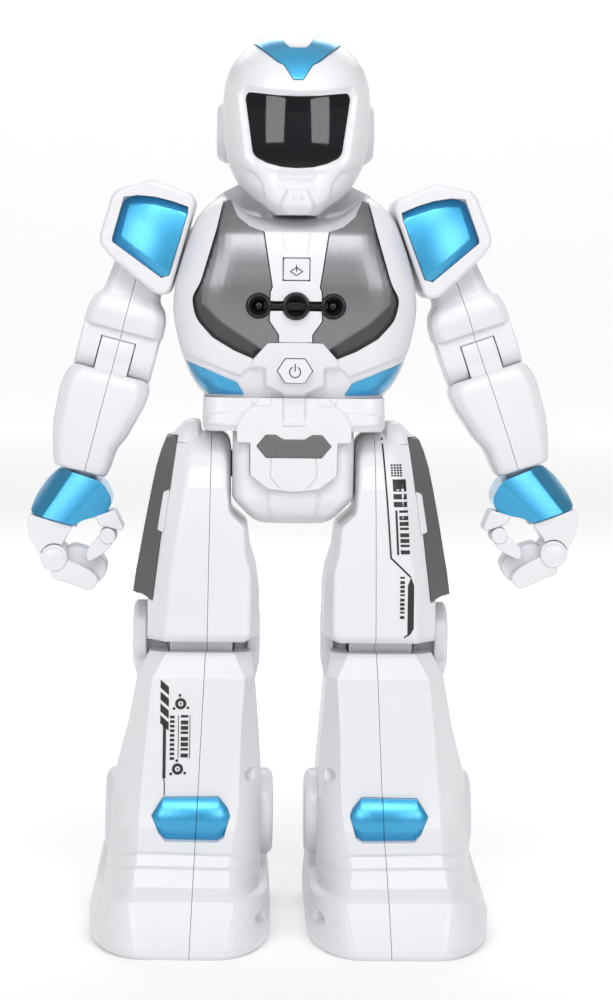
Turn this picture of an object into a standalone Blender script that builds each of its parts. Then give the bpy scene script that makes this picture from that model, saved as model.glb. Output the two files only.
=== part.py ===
"""A walking toy robot, 26 cm tall: hollow moulded shells around a board, a battery and two foot drives.

The robot stands on z = 0 and faces -Y. All sizes below are in millimetres, with "forward" meaning -Y,
and "left" and "right" meaning the robot's own sides (its left is +X).
"""

import math

import bmesh
import bpy
from mathutils import Matrix, Vector

MM = 0.001
GAP = 0.3
WALL = 2.0
CORNER_STEPS = 2
ROUND_SIDES = 16
FAR = 90.0

# The waist's middle, measured from the centre of the robot's outer box: the arms hang unevenly.
MIDDLE = (-3.2, 4.0, 0.0)

# Heights and joint axes.
HEAD_SPLIT = -2.0
NECK_RADIUS = 6.5
EAR_HEIGHT = 231.0
EAR_RADIUS = 8.0
EAR_BACK = -10.6
SHOULDER_OUT = 43.0
SHOULDER_HEIGHT = 200.0
ARM_TILT_DEG = {"left": 19.0, "right": 14.4}
ELBOW_DROP = 34.3
ELBOW_RADIUS = 7.8
WRIST_DROP = 71.0
KNUCKLE = (1.8, -96.9)
KNUCKLE_RADIUS = 3.9
THUMB_PIVOT = (-11.5, -86.9)
HIP_HEIGHT = 134.0
HIP_PIN_RADIUS = 4.0
KNEE_HEIGHT = 84.0
KNEE_EAR_RADIUS = 7.9
ANKLE_HEIGHT = 31.2
ANKLE_RADIUS = 12.6
WHEEL_RADIUS = 6.5
WHEEL_BACK = -14.0
SENSOR_HEIGHT = 180.5
SENSOR_PITCH = 10.5
SENSOR_BAR_HALF = 1.3
MODE_HEIGHT = 190.9
POWER_HEIGHT = 162.1

# Each row: height, left edge, right edge, front, back, front corner, back corner.
HEAD = [
    (206.3, -6.0, 6.0, 24.0, -6.0, (4, 6), (4, 4)),
    (209.0, -8.6, 8.6, 26.5, -9.0, (6, 9), (6, 6)),
    (214.0, -14.4, 14.4, 27.0, -14.0, (11, 13), (10, 10)),
    (217.0, -16.7, 16.7, 26.7, -17.0, (13, 15), (12, 12)),
    (223.0, -20.4, 20.4, 26.2, -21.0, (15, 18), (15, 16)),
    (230.0, -21.3, 21.3, 25.8, -23.5, (15, 19), (17, 18)),
    (238.0, -21.5, 21.5, 25.4, -24.0, (15, 19), (17, 18)),
    (243.0, -20.9, 20.9, 24.4, -23.3, (15, 18), (17, 18)),
    (248.0, -19.6, 19.6, 22.0, -21.5, (15, 17), (16, 17)),
    (252.0, -17.0, 17.0, 18.5, -18.5, (14, 15), (14, 15)),
    (255.5, -13.6, 13.6, 13.5, -14.5, (11, 11), (11, 12)),
    (258.0, -9.0, 9.0, 7.0, -9.0, (7, 6), (7, 7)),
]
TORSO = [
    (154.2, -25.6, 25.6, 18.0, -18.0, (9, 8), (9, 8)),
    (158.0, -28.6, 28.6, 20.8, -20.0, (10, 9), (10, 9)),
    (163.0, -31.0, 31.0, 23.0, -21.5, (12, 10), (10, 9)),
    (170.0, -33.3, 33.3, 25.0, -22.5, (14, 11), (11, 10)),
    (180.0, -34.9, 34.9, 27.0, -23.5, (16, 13), (12, 11)),
    (186.0, -34.4, 34.4, 27.5, -24.0, (16, 13), (12, 11)),
    (192.0, -33.0, 33.0, 27.0, -24.0, (16, 13), (12, 11)),
    (200.0, -30.5, 30.5, 25.0, -23.5, (14, 12), (12, 11)),
    (205.0, -28.6, 28.6, 21.5, -21.5, (12, 10), (11, 10)),
    (209.0, -26.6, 26.6, 18.0, -19.5, (10, 9), (10, 9)),
    (211.0, -24.6, 24.6, 16.0, -18.0, (9, 8), (9, 8)),
]
TORSO_ROOM_TOP = (203.4, -26.4, 26.4, 19.2, -19.2, (10, 8), (10, 8))
COLLAR = [
    (203.5, -28.0, 28.0, -2.2, -21.6, (1, 1), (12, 12)),
    (209.0, -26.4, 26.4, -2.4, -20.9, (1, 1), (12, 12)),
    (214.0, -22.6, 22.6, -3.4, -20.8, (1, 1), (12, 12)),
]
WAIST = [
    (144.6, -25.4, 25.4, 19.4, -18.4, (6, 5), (6, 5)),
    (146.0, -26.2, 26.2, 20.2, -19.2, (6, 5), (6, 5)),
    (153.9, -26.0, 26.0, 19.4, -18.6, (6, 5), (6, 5)),
]
HIP_BLOCK = [
    (118.8, -11.5, 11.5, 8.0, -8.0, (2, 2), (2, 2)),
    (120.5, -13.3, 13.3, 10.5, -10.5, (2, 2), (2, 2)),
    (126.0, -17.5, 17.5, 11.6, -11.6, (2, 2), (2, 2)),
    (144.2, -17.5, 17.5, 11.6, -11.6, (2, 2), (2, 2)),
]
# On the limbs the left edge is the inner side and the right edge the outer side.
THIGH = [
    (84.0, 10.2, 44.2, 19.6, -18.0, (8, 7), (5, 5)),
    (86.0, 9.0, 45.3, 21.0, -19.0, (9, 8), (5, 5)),
    (96.0, 9.1, 45.3, 21.0, -19.0, (9, 8), (5, 5)),
    (103.0, 9.7, 44.6, 20.8, -19.0, (9, 8), (5, 5)),
    (109.0, 12.4, 43.5, 20.4, -19.0, (8, 7), (5, 5)),
    (116.5, 14.3, 42.0, 19.7, -19.0, (8, 7), (5, 5)),
    (120.0, 17.7, 41.4, 19.2, -18.5, (8, 7), (5, 5)),
    (126.0, 17.9, 40.2, 18.0, -17.5, (8, 7), (5, 5)),
    (133.0, 17.9, 38.8, 15.5, -15.0, (7, 7), (5, 5)),
    (138.0, 17.9, 37.6, 12.5, -12.0, (6, 6), (4, 4)),
    (141.0, 18.2, 36.6, 9.0, -9.0, (5, 5), (4, 4)),
    (143.4, 19.5, 34.5, 5.0, -5.0, (3, 3), (3, 3)),
]
THIGH_DOME = [
    (142.0, 27.2, 35.0, 6.0, -6.0, (3, 3), (3, 3)),
    (147.0, 27.6, 31.5, 2.2, -2.2, (1, 1), (1, 1)),
]
SHIN = [
    (0.8, 6.5, 55.0, 49.6, -41.5, (20, 18), (12, 12)),
    (4.0, 5.4, 56.2, 50.0, -42.0, (20, 18), (12, 12)),
    (9.5, 6.2, 55.9, 47.5, -40.5, (20, 18), (12, 12)),
    (14.2, 7.5, 54.3, 44.0, -38.0, (19, 17), (12, 12)),
    (19.0, 7.7, 53.0, 40.0, -35.0, (18, 16), (12, 12)),
    (27.0, 7.5, 52.9, 31.0, -30.0, (14, 12), (11, 11)),
    (34.0, 7.6, 52.0, 26.0, -26.0, (10, 9), (9, 9)),
    (42.0, 7.9, 51.0, 24.0, -23.0, (8, 7), (8, 8)),
    (49.5, 8.3, 49.1, 22.3, -21.0, (7, 6), (7, 7)),
    (58.9, 9.2, 46.9, 21.0, -20.0, (6, 5), (6, 6)),
    (70.6, 10.3, 44.7, 20.0, -19.0, (6, 5), (6, 6)),
    (74.5, 10.6, 44.2, 19.5, -18.5, (6, 5), (6, 6)),
    (80.6, 14.0, 40.5, 14.5, -14.0, (4, 3), (4, 4)),
]
UPPER_ARM = [
    (-28.2, -12.0, 11.3, 10.5, -10.5, (4, 3), (3, 3)),
    (-24.7, -11.8, 11.0, 10.8, -10.8, (4, 3), (3, 3)),
    (-20.0, -10.7, 10.0, 10.0, -10.0, (4, 3), (3, 3)),
    (-17.6, -8.5, 8.0, 8.5, -8.5, (3, 3), (3, 3)),
    (-10.0, -7.5, 7.0, 7.5, -7.5, (3, 3), (3, 3)),
]
FOREARM = [
    (-70.8, -6.6, 9.0, 8.2, -8.2, (3, 3), (3, 3)),
    (-67.1, -7.2, 10.2, 9.2, -9.2, (4, 3), (4, 4)),
    (-62.4, -7.5, 11.5, 10.0, -10.0, (4, 3), (4, 4)),
    (-57.6, -9.6, 12.4, 10.6, -10.8, (4, 3), (4, 4)),
    (-48.2, -12.0, 13.0, 10.8, -11.2, (4, 3), (4, 4)),
    (-43.5, -12.4, 12.5, 10.0, -10.5, (4, 3), (4, 4)),
    (-40.6, -11.0, 10.8, 8.4, -9.0, (3, 3), (4, 4)),
]

# Outlines seen from the front, as (sideways, up).
VISOR_HALF = [(0, 239.8), (14.2, 240.9), (14.9, 239.3), (12.6, 223.6), (11.6, 222.4), (3.0, 219.5),
              (0, 219.4)]
CREST_HALF = [(0, 259.5), (6.0, 259.5), (12.4, 255.6), (5.9, 249.8), (4.1, 248.9), (1.3, 244.5), (0, 244.5)]
STERNUM_HALF = [(0, 201.5), (9.1, 201.5), (6.6, 185.8), (7.2, 184.4), (7.4, 176.3), (4.7, 172.4), (4.7, 170.3),
                (0, 170.3)]
CHEST_PLATE = [(23.2, 204.2), (16.2, 204.2), (13.7, 202.9), (9.4, 201.5), (6.9, 185.8), (7.5, 184.4),
               (7.7, 176.3), (5.0, 172.4), (5.0, 170.3), (7.8, 170.0), (11.9, 165.4), (17.5, 167.8),
               (23.5, 171.4), (28.4, 176.8), (29.5, 182.8), (27.3, 186.6), (25.1, 194.2)]
CHEST_HOLE_HALF = [(0, 201.5), *reversed(CHEST_PLATE[:4]), *reversed(CHEST_PLATE[8:]), (0, 170.3)]
SIDE_INSERT = [(36.0, 164.8), (30.8, 164.5), (16.4, 158.4), (14.5, 155.4), (36.0, 155.4)]
BELLY_BOSS_HALF = [(0, 165.9), (9.6, 165.9), (8.3, 162.6), (8.3, 157.9), (4.4, 155.4), (0, 155.4)]
POWER_HALF = [(0, 3.4), (2.8, 3.4), (4.9, 0.0), (2.7, -3.4), (0, -3.4)]
WAIST_TONGUE_HALF = [(0, 146.0), (16.4, 146.0), (16.4, 141.5), (12.5, 141.3), (12.4, 132.1), (7.2, 128.1),
                     (0, 127.3)]
BADGE_HALF = [(0, 142.3), (3.1, 142.3), (5.2, 143.6), (8.0, 143.6), (10.6, 140.5), (7.9, 137.2), (0, 137.2)]
BATTERY_DOOR = [(-14.0, 160.0), (14.0, 160.0), (14.0, 187.0), (-14.0, 187.0)]
THIGH_PANEL = [(33.5, 142.3), (60.0, 142.3), (60.0, 98.0), (44.0, 97.6), (40.1, 95.8), (37.7, 115.4),
               (35.4, 127.8)]
ANKLE_INSERT = [(39.4, 35.4), (36.2, 40.3), (20.4, 40.5), (17.9, 37.6), (17.1, 35.4), (18.8, 29.7),
                (20.7, 28.7), (35.3, 28.9), (37.2, 30.7)]
# Outlines on the arm, from the shoulder pivot, as (outward, up).
CAP_OUTLINE = [(10.7, 11.5), (12.3, 8.7), (12.7, -3.5), (12.0, -5.6), (8.6, -8.1), (1.1, -11.8), (-7.2, -15.4),
               (-10.0, -14.9), (-11.0, -12.9), (-11.4, 13.3), (-9.7, 15.2), (2.9, 16.2), (4.9, 14.4)]
CAP_INSERT = [(8.7, 9.0), (5.1, 10.5), (0.2, 11.3), (-4.9, 11.4), (-9.6, 11.0), (-9.9, 9.2), (-9.3, -9.0),
              (-7.5, -10.3), (8.6, -4.0), (8.9, -3.0)]
CUFF_OUTLINE = [(7.1, -71.3), (10.0, -75.9), (11.9, -81.4), (12.3, -86.3), (-1.6, -86.3), (-3.3, -84.2),
                (-6.5, -82.6), (-9.3, -80.7), (-10.2, -78.3), (-9.6, -75.6), (-6.8, -72.6), (-5.0, -71.9),
                (0.0, -71.6)]
PALM_OUTLINE = [(12.2, -86.6), (12.1, -88.5), (10.8, -91.7), (9.4, -93.7), (5.8, -97.4), (2.8, -98.0),
                (0.6, -93.2), (0.0, -89.7), (-1.2, -86.6)]
FINGER_NEAR = [(1.8, -101.0), (0.8, -102.9), (-4.5, -103.1), (-10.2, -103.7), (-11.6, -102.7), (-12.4, -100.2),
               (-11.5, -98.8), (-9.2, -97.7), (-5.7, -96.9), (-2.1, -96.4), (1.8, -96.7)]
FINGER_FAR = [(-1.3, -93.4), (-2.2, -92.6), (-6.3, -92.6), (-10.8, -93.4), (-12.6, -94.6), (-13.5, -95.9),
              (-13.7, -98.2), (-13.0, -100.4), (-11.4, -101.9), (-7.8, -102.8), (0.3, -102.6), (1.8, -99.4),
              (1.8, -96.7)]
THUMB_ROOT = [(-6.5, -82.4), (-8.5, -84.5), (-14.9, -84.4), (-15.4, -83.3), (-11.7, -79.0), (-10.7, -79.5)]
THUMB_TIP = [(-9.4, -86.2), (-9.1, -87.6), (-7.0, -91.6), (-6.9, -93.3), (-7.3, -94.7), (-8.4, -95.3),
             (-11.1, -92.8), (-13.1, -90.0), (-13.8, -86.6)]


# ---------------------------------------------------------------- scene and materials

def clear_scene():
    for obj in list(bpy.data.objects):
        bpy.data.objects.remove(obj, do_unlink=True)


def new_collection(name):
    made = bpy.data.collections.new(name)
    bpy.context.scene.collection.children.link(made)
    return made


def plastic(name, colour, roughness, metallic=0.0):
    made = bpy.data.materials.new(name)
    made.use_nodes = True
    shader = made.node_tree.nodes["Principled BSDF"]
    shader.inputs["Base Color"].default_value = (*colour, 1.0)
    shader.inputs["Roughness"].default_value = roughness
    shader.inputs["Metallic"].default_value = metallic
    return made


clear_scene()
PARTS = new_collection("toy_robot")
CUTTERS = new_collection("cutters")
WHITE = plastic("white_shell", (0.83, 0.83, 0.86), 0.3)
BLUE = plastic("blue_metallic", (0.01, 0.34, 0.62), 0.28, 0.7)
SILVER = plastic("silver_metallic", (0.28, 0.28, 0.29), 0.35, 0.8)
GREY = plastic("dark_grey", (0.1, 0.105, 0.105), 0.45)
BLACK = plastic("gloss_black", (0.006, 0.006, 0.007), 0.06)
BOARD = plastic("circuit_board", (0.02, 0.2, 0.06), 0.5)
CELL = plastic("battery_wrap", (0.05, 0.12, 0.35), 0.4)
TYRE = plastic("tyre_rubber", (0.02, 0.02, 0.02), 0.8)
INNER = plastic("inner_plastic", (0.4, 0.4, 0.42), 0.5)


# ---------------------------------------------------------------- shapes, in millimetres

def new_object(name, bm, parent):
    bmesh.ops.recalc_face_normals(bm, faces=bm.faces)
    bmesh.ops.scale(bm, vec=(MM, MM, MM), verts=bm.verts)
    mesh = bpy.data.meshes.new(name)
    bm.to_mesh(mesh)
    bm.free()
    obj = bpy.data.objects.new(name, mesh)
    PARTS.objects.link(obj)
    obj.parent = parent or ROBOT
    return obj


def ring(row, side=1, steps=CORNER_STEPS):
    """One rounded rectangle at a height, as points that run counter-clockwise from the front right corner."""
    height, left, right, front, back, front_corner, back_corner = row
    corners = [
        (right, front, -1, -1, front_corner, 0), (right, back, -1, 1, back_corner, 1),
        (left, back, 1, 1, back_corner, 2), (left, front, 1, -1, front_corner, 3),
    ]
    points = []
    for x, forward, into_x, into_forward, (wide, deep), quarter in corners:
        for step in range(steps + 1):
            turn = math.pi / 2 * step / steps
            along = (math.sin(turn), math.cos(turn)) if quarter % 2 == 0 else (math.cos(turn), math.sin(turn))
            px = x + into_x * wide * (1 - along[0])
            pf = forward + into_forward * deep * (1 - along[1])
            points.append(Vector((side * px, -pf, height)))
    return points


def loft(name, rows, side=1, parent=None):
    """A closed solid through a stack of rounded rectangles."""
    bm = bmesh.new()
    rings = [[bm.verts.new(point) for point in ring(row, side)] for row in rows]
    count = len(rings[0])
    for lower, upper in zip(rings, rings[1:]):
        for i in range(count):
            j = (i + 1) % count
            bm.faces.new((lower[i], lower[j], upper[j], upper[i]))
    bm.faces.new(rings[0])
    bm.faces.new(rings[-1])
    return new_object(name, bm, parent)


def inset(rows, by, low=0.0, high=0.0):
    """The same stack moved inward by a wall, with its first and last heights shifted."""
    moved = []
    for i, (height, left, right, front, back, fc, bc) in enumerate(rows):
        if i == 0:
            height += low
        if i == len(rows) - 1:
            height -= high
        fc = tuple(max(0.4, c - by) for c in fc)
        bc = tuple(max(0.4, c - by) for c in bc)
        moved.append((height, left + by, right - by, front - by, back + by, fc, bc))
    return moved


def mirrored(half):
    """A closed outline from its half at x >= 0, whose first and last points lie on x = 0."""
    return list(half) + [(-x, z) for x, z in reversed(half[1:-1])]


def grown(outline, by):
    """The outline with each corner pushed out by about the given gap."""
    area = sum(a[0] * b[1] - b[0] * a[1] for a, b in zip(outline, outline[1:] + outline[:1]))
    turn = 1 if area > 0 else -1
    pushed = []
    for i, (x, z) in enumerate(outline):
        before = Vector(outline[i - 1])
        after = Vector(outline[(i + 1) % len(outline)])
        here = Vector((x, z))
        one = (here - before).normalized()
        two = (after - here).normalized()
        out_one = Vector((one.y, -one.x)) * turn
        out_two = Vector((two.y, -two.x)) * turn
        middle = out_one + out_two
        reach = by / max(0.35, middle.length_squared / 2)
        pushed.append((x + middle.x * reach, z + middle.y * reach))
    return pushed


def prism(name, outline, back, front, side=1, parent=None):
    """A flat outline seen from the front, extruded between two depths."""
    bm = bmesh.new()
    face = bm.faces.new([bm.verts.new((side * x, -back, z)) for x, z in outline])
    swept = bmesh.ops.extrude_face_region(bm, geom=[face])
    moved = [item for item in swept["geom"] if isinstance(item, bmesh.types.BMVert)]
    bmesh.ops.translate(bm, verts=moved, vec=(0, back - front, 0))
    return new_object(name, bm, parent)


def box(name, x, forward, z, side=1, parent=None):
    """A box between two sideways, two forward and two height values."""
    bm = bmesh.new()
    bmesh.ops.create_cube(bm, size=1)
    size = (x[1] - x[0], forward[1] - forward[0], z[1] - z[0])
    centre = (side * (x[0] + x[1]) / 2, -(forward[0] + forward[1]) / 2, (z[0] + z[1]) / 2)
    bmesh.ops.transform(bm, matrix=Matrix.Translation(centre) @ Matrix.Diagonal((*size, 1)), verts=bm.verts)
    return new_object(name, bm, parent)


def rod(name, axis, at, span, radius, side=1, parent=None, sides=ROUND_SIDES, tip=None):
    """A cylinder along x, forward or up. `at` holds its two other coordinates, and `tip` its far radius."""
    bm = bmesh.new()
    length = span[1] - span[0]
    bmesh.ops.create_cone(
        bm, cap_ends=True, segments=sides, radius1=radius, radius2=tip or radius, depth=length)
    middle = (span[0] + span[1]) / 2
    if axis == "x":
        turn = Matrix.Rotation(math.pi / 2 * side, 4, "Y")
        centre = (side * middle, -at[0], at[1])
    elif axis == "forward":
        turn = Matrix.Rotation(math.pi / 2, 4, "X")
        centre = (side * at[0], -middle, at[1])
    else:
        turn = Matrix.Identity(4)
        centre = (side * at[0], -at[1], middle)
    bmesh.ops.transform(bm, matrix=Matrix.Translation(centre) @ turn, verts=bm.verts)
    return new_object(name, bm, parent)


def join_cut(target, operation, *others):
    """Booleans on the target, with each other solid kept as a hidden cutter."""
    for other in others:
        if other.name not in CUTTERS.objects:
            PARTS.objects.unlink(other)
            CUTTERS.objects.link(other)
            other.hide_render = True
            other.display_type = "WIRE"
        modifier = target.modifiers.new(operation.title(), "BOOLEAN")
        modifier.operation = operation
        modifier.solver = "EXACT"
        modifier.object = other
    return target


def add(target, *others):
    return join_cut(target, "UNION", *others)


def cut(target, *others):
    return join_cut(target, "DIFFERENCE", *others)


def keep(target, *others):
    return join_cut(target, "INTERSECT", *others)


def finish(obj, material, pivot=None):
    """Gives a part its material, and moves its origin onto its joint's axis."""
    obj.data.materials.clear()
    obj.data.materials.append(material)
    for modifier in obj.modifiers:
        if modifier.type == "BOOLEAN":
            modifier.material_mode = "INDEX"
    if pivot:
        shift = Vector(pivot) * MM
        obj.data.transform(Matrix.Translation(-shift))
        obj.location = shift
    return obj


def joint_frame(name, location, turn_y=0.0, parent=None):
    """An empty on a joint's axis, which its pieces are parented to."""
    empty = bpy.data.objects.new(name, None)
    empty.location = Vector(location) * MM
    empty.rotation_euler = (0, turn_y, 0)
    PARTS.objects.link(empty)
    empty.parent = parent
    return empty


ROBOT = joint_frame("robot", MIDDLE)


# ---------------------------------------------------------------- head

def build_head():
    pivot = (0, 0, 206)
    cavity = loft("head_cavity", inset(HEAD, WALL, WALL, WALL))
    ear_pods = [rod(f"ear_pod_{s}", "x", (EAR_BACK, EAR_HEIGHT), (15, 23.1), EAR_RADIUS, s, tip=EAR_RADIUS - 1.5)
                for s in (1, -1)]
    visor_hole = prism("visor_hole", grown(mirrored(VISOR_HALF), GAP), 4, 40)
    crest_hole = prism("crest_hole", grown(mirrored(CREST_HALF), GAP), -14 - GAP, 40)
    neck_hole = rod("head_neck_hole", "up", (0, 0), (200, 212), NECK_RADIUS + GAP)
    front = loft("head_front_shell", HEAD)
    cut(front, cavity, box("head_rear_half", (-40, 40), (-50, HEAD_SPLIT + GAP / 2), (200, 270)))
    cut(front, visor_hole, crest_hole, neck_hole)
    finish(front, WHITE, pivot)
    rear = loft("head_rear_shell", HEAD)
    add(rear, *ear_pods)
    cut(rear, cavity, box("head_front_half", (-40, 40), (HEAD_SPLIT - GAP / 2, 50), (200, 270)))
    cut(rear, crest_hole, neck_hole)
    finish(rear, WHITE, pivot)
    visor = prism("visor", mirrored(VISOR_HALF), 5, 40)
    keep(visor, loft("visor_outside", inset(HEAD, 0.8)))
    cut(visor, loft("visor_inside", inset(HEAD, 2.8)))
    finish(visor, BLACK, pivot)
    crest = prism("crest_insert", mirrored(CREST_HALF), -14, 40)
    raised = [(h + (2.6 if h > 254 else 0.0), *rest) for h, *rest in inset(HEAD, -0.5)]
    keep(crest, loft("crest_outside", raised))
    cut(crest, loft("crest_inside", inset(HEAD, WALL + 0.5, 0, WALL + 0.5)))
    finish(crest, BLUE, pivot)
    board = box("eye_light_board", (-11, 11), (15.5, 17.0), (224, 238))
    add(board, rod("eye_light_a", "forward", (-6, 231), (16.5, 19.5), 2.2, sides=12))
    add(board, rod("eye_light_b", "forward", (6, 231), (16.5, 19.5), 2.2, sides=12))
    finish(board, BOARD, pivot)
    post = rod("neck_post", "up", (0, 0), (199.2, 213.5), NECK_RADIUS)
    add(post, rod("neck_flange", "up", (0, 0), (199.2, 201.4), 9.0))
    cut(post, rod("neck_wire_way", "up", (0, 0), (195, 220), 3.5, sides=12))
    finish(post, INNER, pivot)


# ---------------------------------------------------------------- torso

def plate(name, outline, rows, front_offset, depth, material, side=1):
    """A panel that follows the front of a lofted surface."""
    panel = prism(name, outline, 0, 60, side)
    keep(panel, loft(f"{name}_outside", inset(rows, -front_offset)))
    cut(panel, loft(f"{name}_inside", inset(rows, depth)))
    finish(panel, material)
    return panel


def sensor_shape(name, extra):
    half = SENSOR_BAR_HALF + extra
    height = (SENSOR_HEIGHT - half, SENSOR_HEIGHT + half)
    bar = box(name, (-SENSOR_PITCH, SENSOR_PITCH), (26.6 - extra, 28.2), height)
    for label, x, radius in (("right", -SENSOR_PITCH, 3.35), ("middle", 0, 3.7), ("left", SENSOR_PITCH, 3.35)):
        add(bar, rod(f"{name}_{label}", "forward", (x, SENSOR_HEIGHT), (21.9, 29.2), radius + extra))
    return bar


def shoulder_socket(side_name, side):
    """The hole that the arm's pin turns in, square to the arm."""
    frame = joint_frame(f"socket_frame_{side_name}", (side * SHOULDER_OUT, 0, SHOULDER_HEIGHT),
                        -side * math.radians(ARM_TILT_DEG[side_name]), ROBOT)
    return rod(f"shoulder_socket_{side_name}", "x", (0, 0), (-24, 0), 6.4, side, frame)


def build_torso():
    below_top = inset([row for row in TORSO if row[0] <= 200], WALL, WALL)
    cavity = loft("torso_cavity", below_top + [TORSO_ROOM_TOP])
    bowl = rod("neck_bowl", "up", (0, 1), (205.6, 230), 25.5, sides=24)
    neck_hole = rod("torso_neck_hole", "up", (0, 0), (201.7, 212), NECK_RADIUS + GAP)
    sockets = [shoulder_socket("left", 1), shoulder_socket("right", -1)]
    chest_left = plate("chest_plate_left", CHEST_PLATE, TORSO, 0.0, 2.2, SILVER)
    chest_right = plate("chest_plate_right", CHEST_PLATE, TORSO, 0.0, 2.2, SILVER, -1)
    sternum = plate("sternum_panel", mirrored(STERNUM_HALF), TORSO, 0.7, 2.2, WHITE)
    plate("side_insert_left", SIDE_INSERT, TORSO, 0.0, 2.0, BLUE)
    plate("side_insert_right", SIDE_INSERT, TORSO, 0.0, 2.0, BLUE, -1)
    sensors = sensor_shape("sensor_trio", 0.0)
    finish(sensors, BLACK)
    sensor_room = sensor_shape("sensor_room", GAP)
    for panel in (chest_left, chest_right, sternum):
        cut(panel, sensor_room)
    mode = box("mode_button", (-3.65, 3.65), (23.6, 28.9), (MODE_HEIGHT - 3.05, MODE_HEIGHT + 3.05))
    finish(mode, WHITE)
    cut(sternum, box("mode_hole", (-3.95, 3.95), (20, 40), (MODE_HEIGHT - 3.35, MODE_HEIGHT + 3.35)))
    power_outline = [(x, z + POWER_HEIGHT) for x, z in mirrored(POWER_HALF)]
    power = prism("power_button", power_outline, 18.5, 25.0)
    finish(power, WHITE)
    power_hole = prism("power_hole", grown(power_outline, GAP), 10, 40)
    boss = prism("belly_boss", mirrored(BELLY_BOSS_HALF), 15, 40)
    keep(boss, loft("boss_outside", inset(TORSO, -1.2, 0.6)))
    front = loft("torso_front_shell", TORSO)
    cut(front, bowl, cavity)
    add(front, boss)
    cut(front, box("torso_rear_half", (-60, 60), (-60, -2 + GAP / 2), (140, 230)), neck_hole, *sockets)
    chest_hole = prism("chest_hole", grown(mirrored(CHEST_HOLE_HALF), GAP), -1, 60)
    insert_holes = [prism(f"insert_hole_{s}", grown(SIDE_INSERT, GAP), -1, 60, s) for s in (1, -1)]
    cut(front, chest_hole, *insert_holes, power_hole)
    finish(front, WHITE)
    rear = loft("torso_rear_shell", TORSO)
    cut(rear, bowl, cavity)
    collar = loft("collar", COLLAR)
    cut(collar, rod("collar_bore", "up", (0, 0), (200, 220), 19.6, sides=24))
    add(rear, collar)
    door, door_hole = rear_plate("battery_cover", BATTERY_DOOR, TORSO)
    cut(rear, box("torso_front_half", (-60, 60), (-2 - GAP / 2, 60), (140, 230)), neck_hole, door_hole, *sockets)
    finish(rear, WHITE)
    cell = box("battery_pack", (-12.5, 12.5), (-18.8, -6.5), (161.5, 185.5))
    finish(cell, CELL)
    board = box("main_board", (-21, 21), (6.0, 7.6), (161, 193))
    add(board, rod("speaker", "forward", (12, 170), (7.0, 12.5), 7.5))
    add(board, box("controller_chip", (-14, -4), (7.2, 9.0), (172, 182)))
    finish(board, BOARD)


def rear_plate(name, outline, rows):
    panel = prism(name, outline, -60, 0)
    keep(panel, loft(f"{name}_outside", rows))
    cut(panel, loft(f"{name}_inside", inset(rows, 1.8)))
    finish(panel, WHITE)
    return panel, prism(f"{name}_hole", grown(outline, GAP), -60, 0)


# ---------------------------------------------------------------- waist and hips

def build_waist():
    waist = loft("waist_shell", WAIST)
    add(waist, prism("waist_tongue", mirrored(WAIST_TONGUE_HALF), 12, 21))
    add(waist, prism("waist_tail", mirrored(WAIST_TONGUE_HALF), -20, -12))
    cut(waist, box("waist_room", (-24, 24), (-16, 16), (146.4, 170)))
    cut(waist, prism("badge_seat", grown(mirrored(BADGE_HALF), GAP), 19.4, 40))
    finish(waist, WHITE)
    finish(prism("waist_badge", mirrored(BADGE_HALF), 19.7, 21.4), GREY)
    block = loft("hip_block", HIP_BLOCK)
    add(block, rod("hip_pins", "x", (0, HIP_HEIGHT), (-22.6, 22.6), HIP_PIN_RADIUS))
    cut(block, box("hip_wire_room", (-11, 11), (-7, 7), (124, 150)))
    finish(block, WHITE)


# ---------------------------------------------------------------- arms

def seam_halves(at, side, parent, label):
    """The two half-spaces on either side of a limb's middle seam."""
    inner = box(f"inner_half_{label}", (-FAR, at + GAP / 2), (-FAR, FAR), (-FAR, FAR), side, parent)
    outer = box(f"outer_half_{label}", (at - GAP / 2, FAR), (-FAR, FAR), (-FAR, FAR), side, parent)
    return inner, outer


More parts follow.
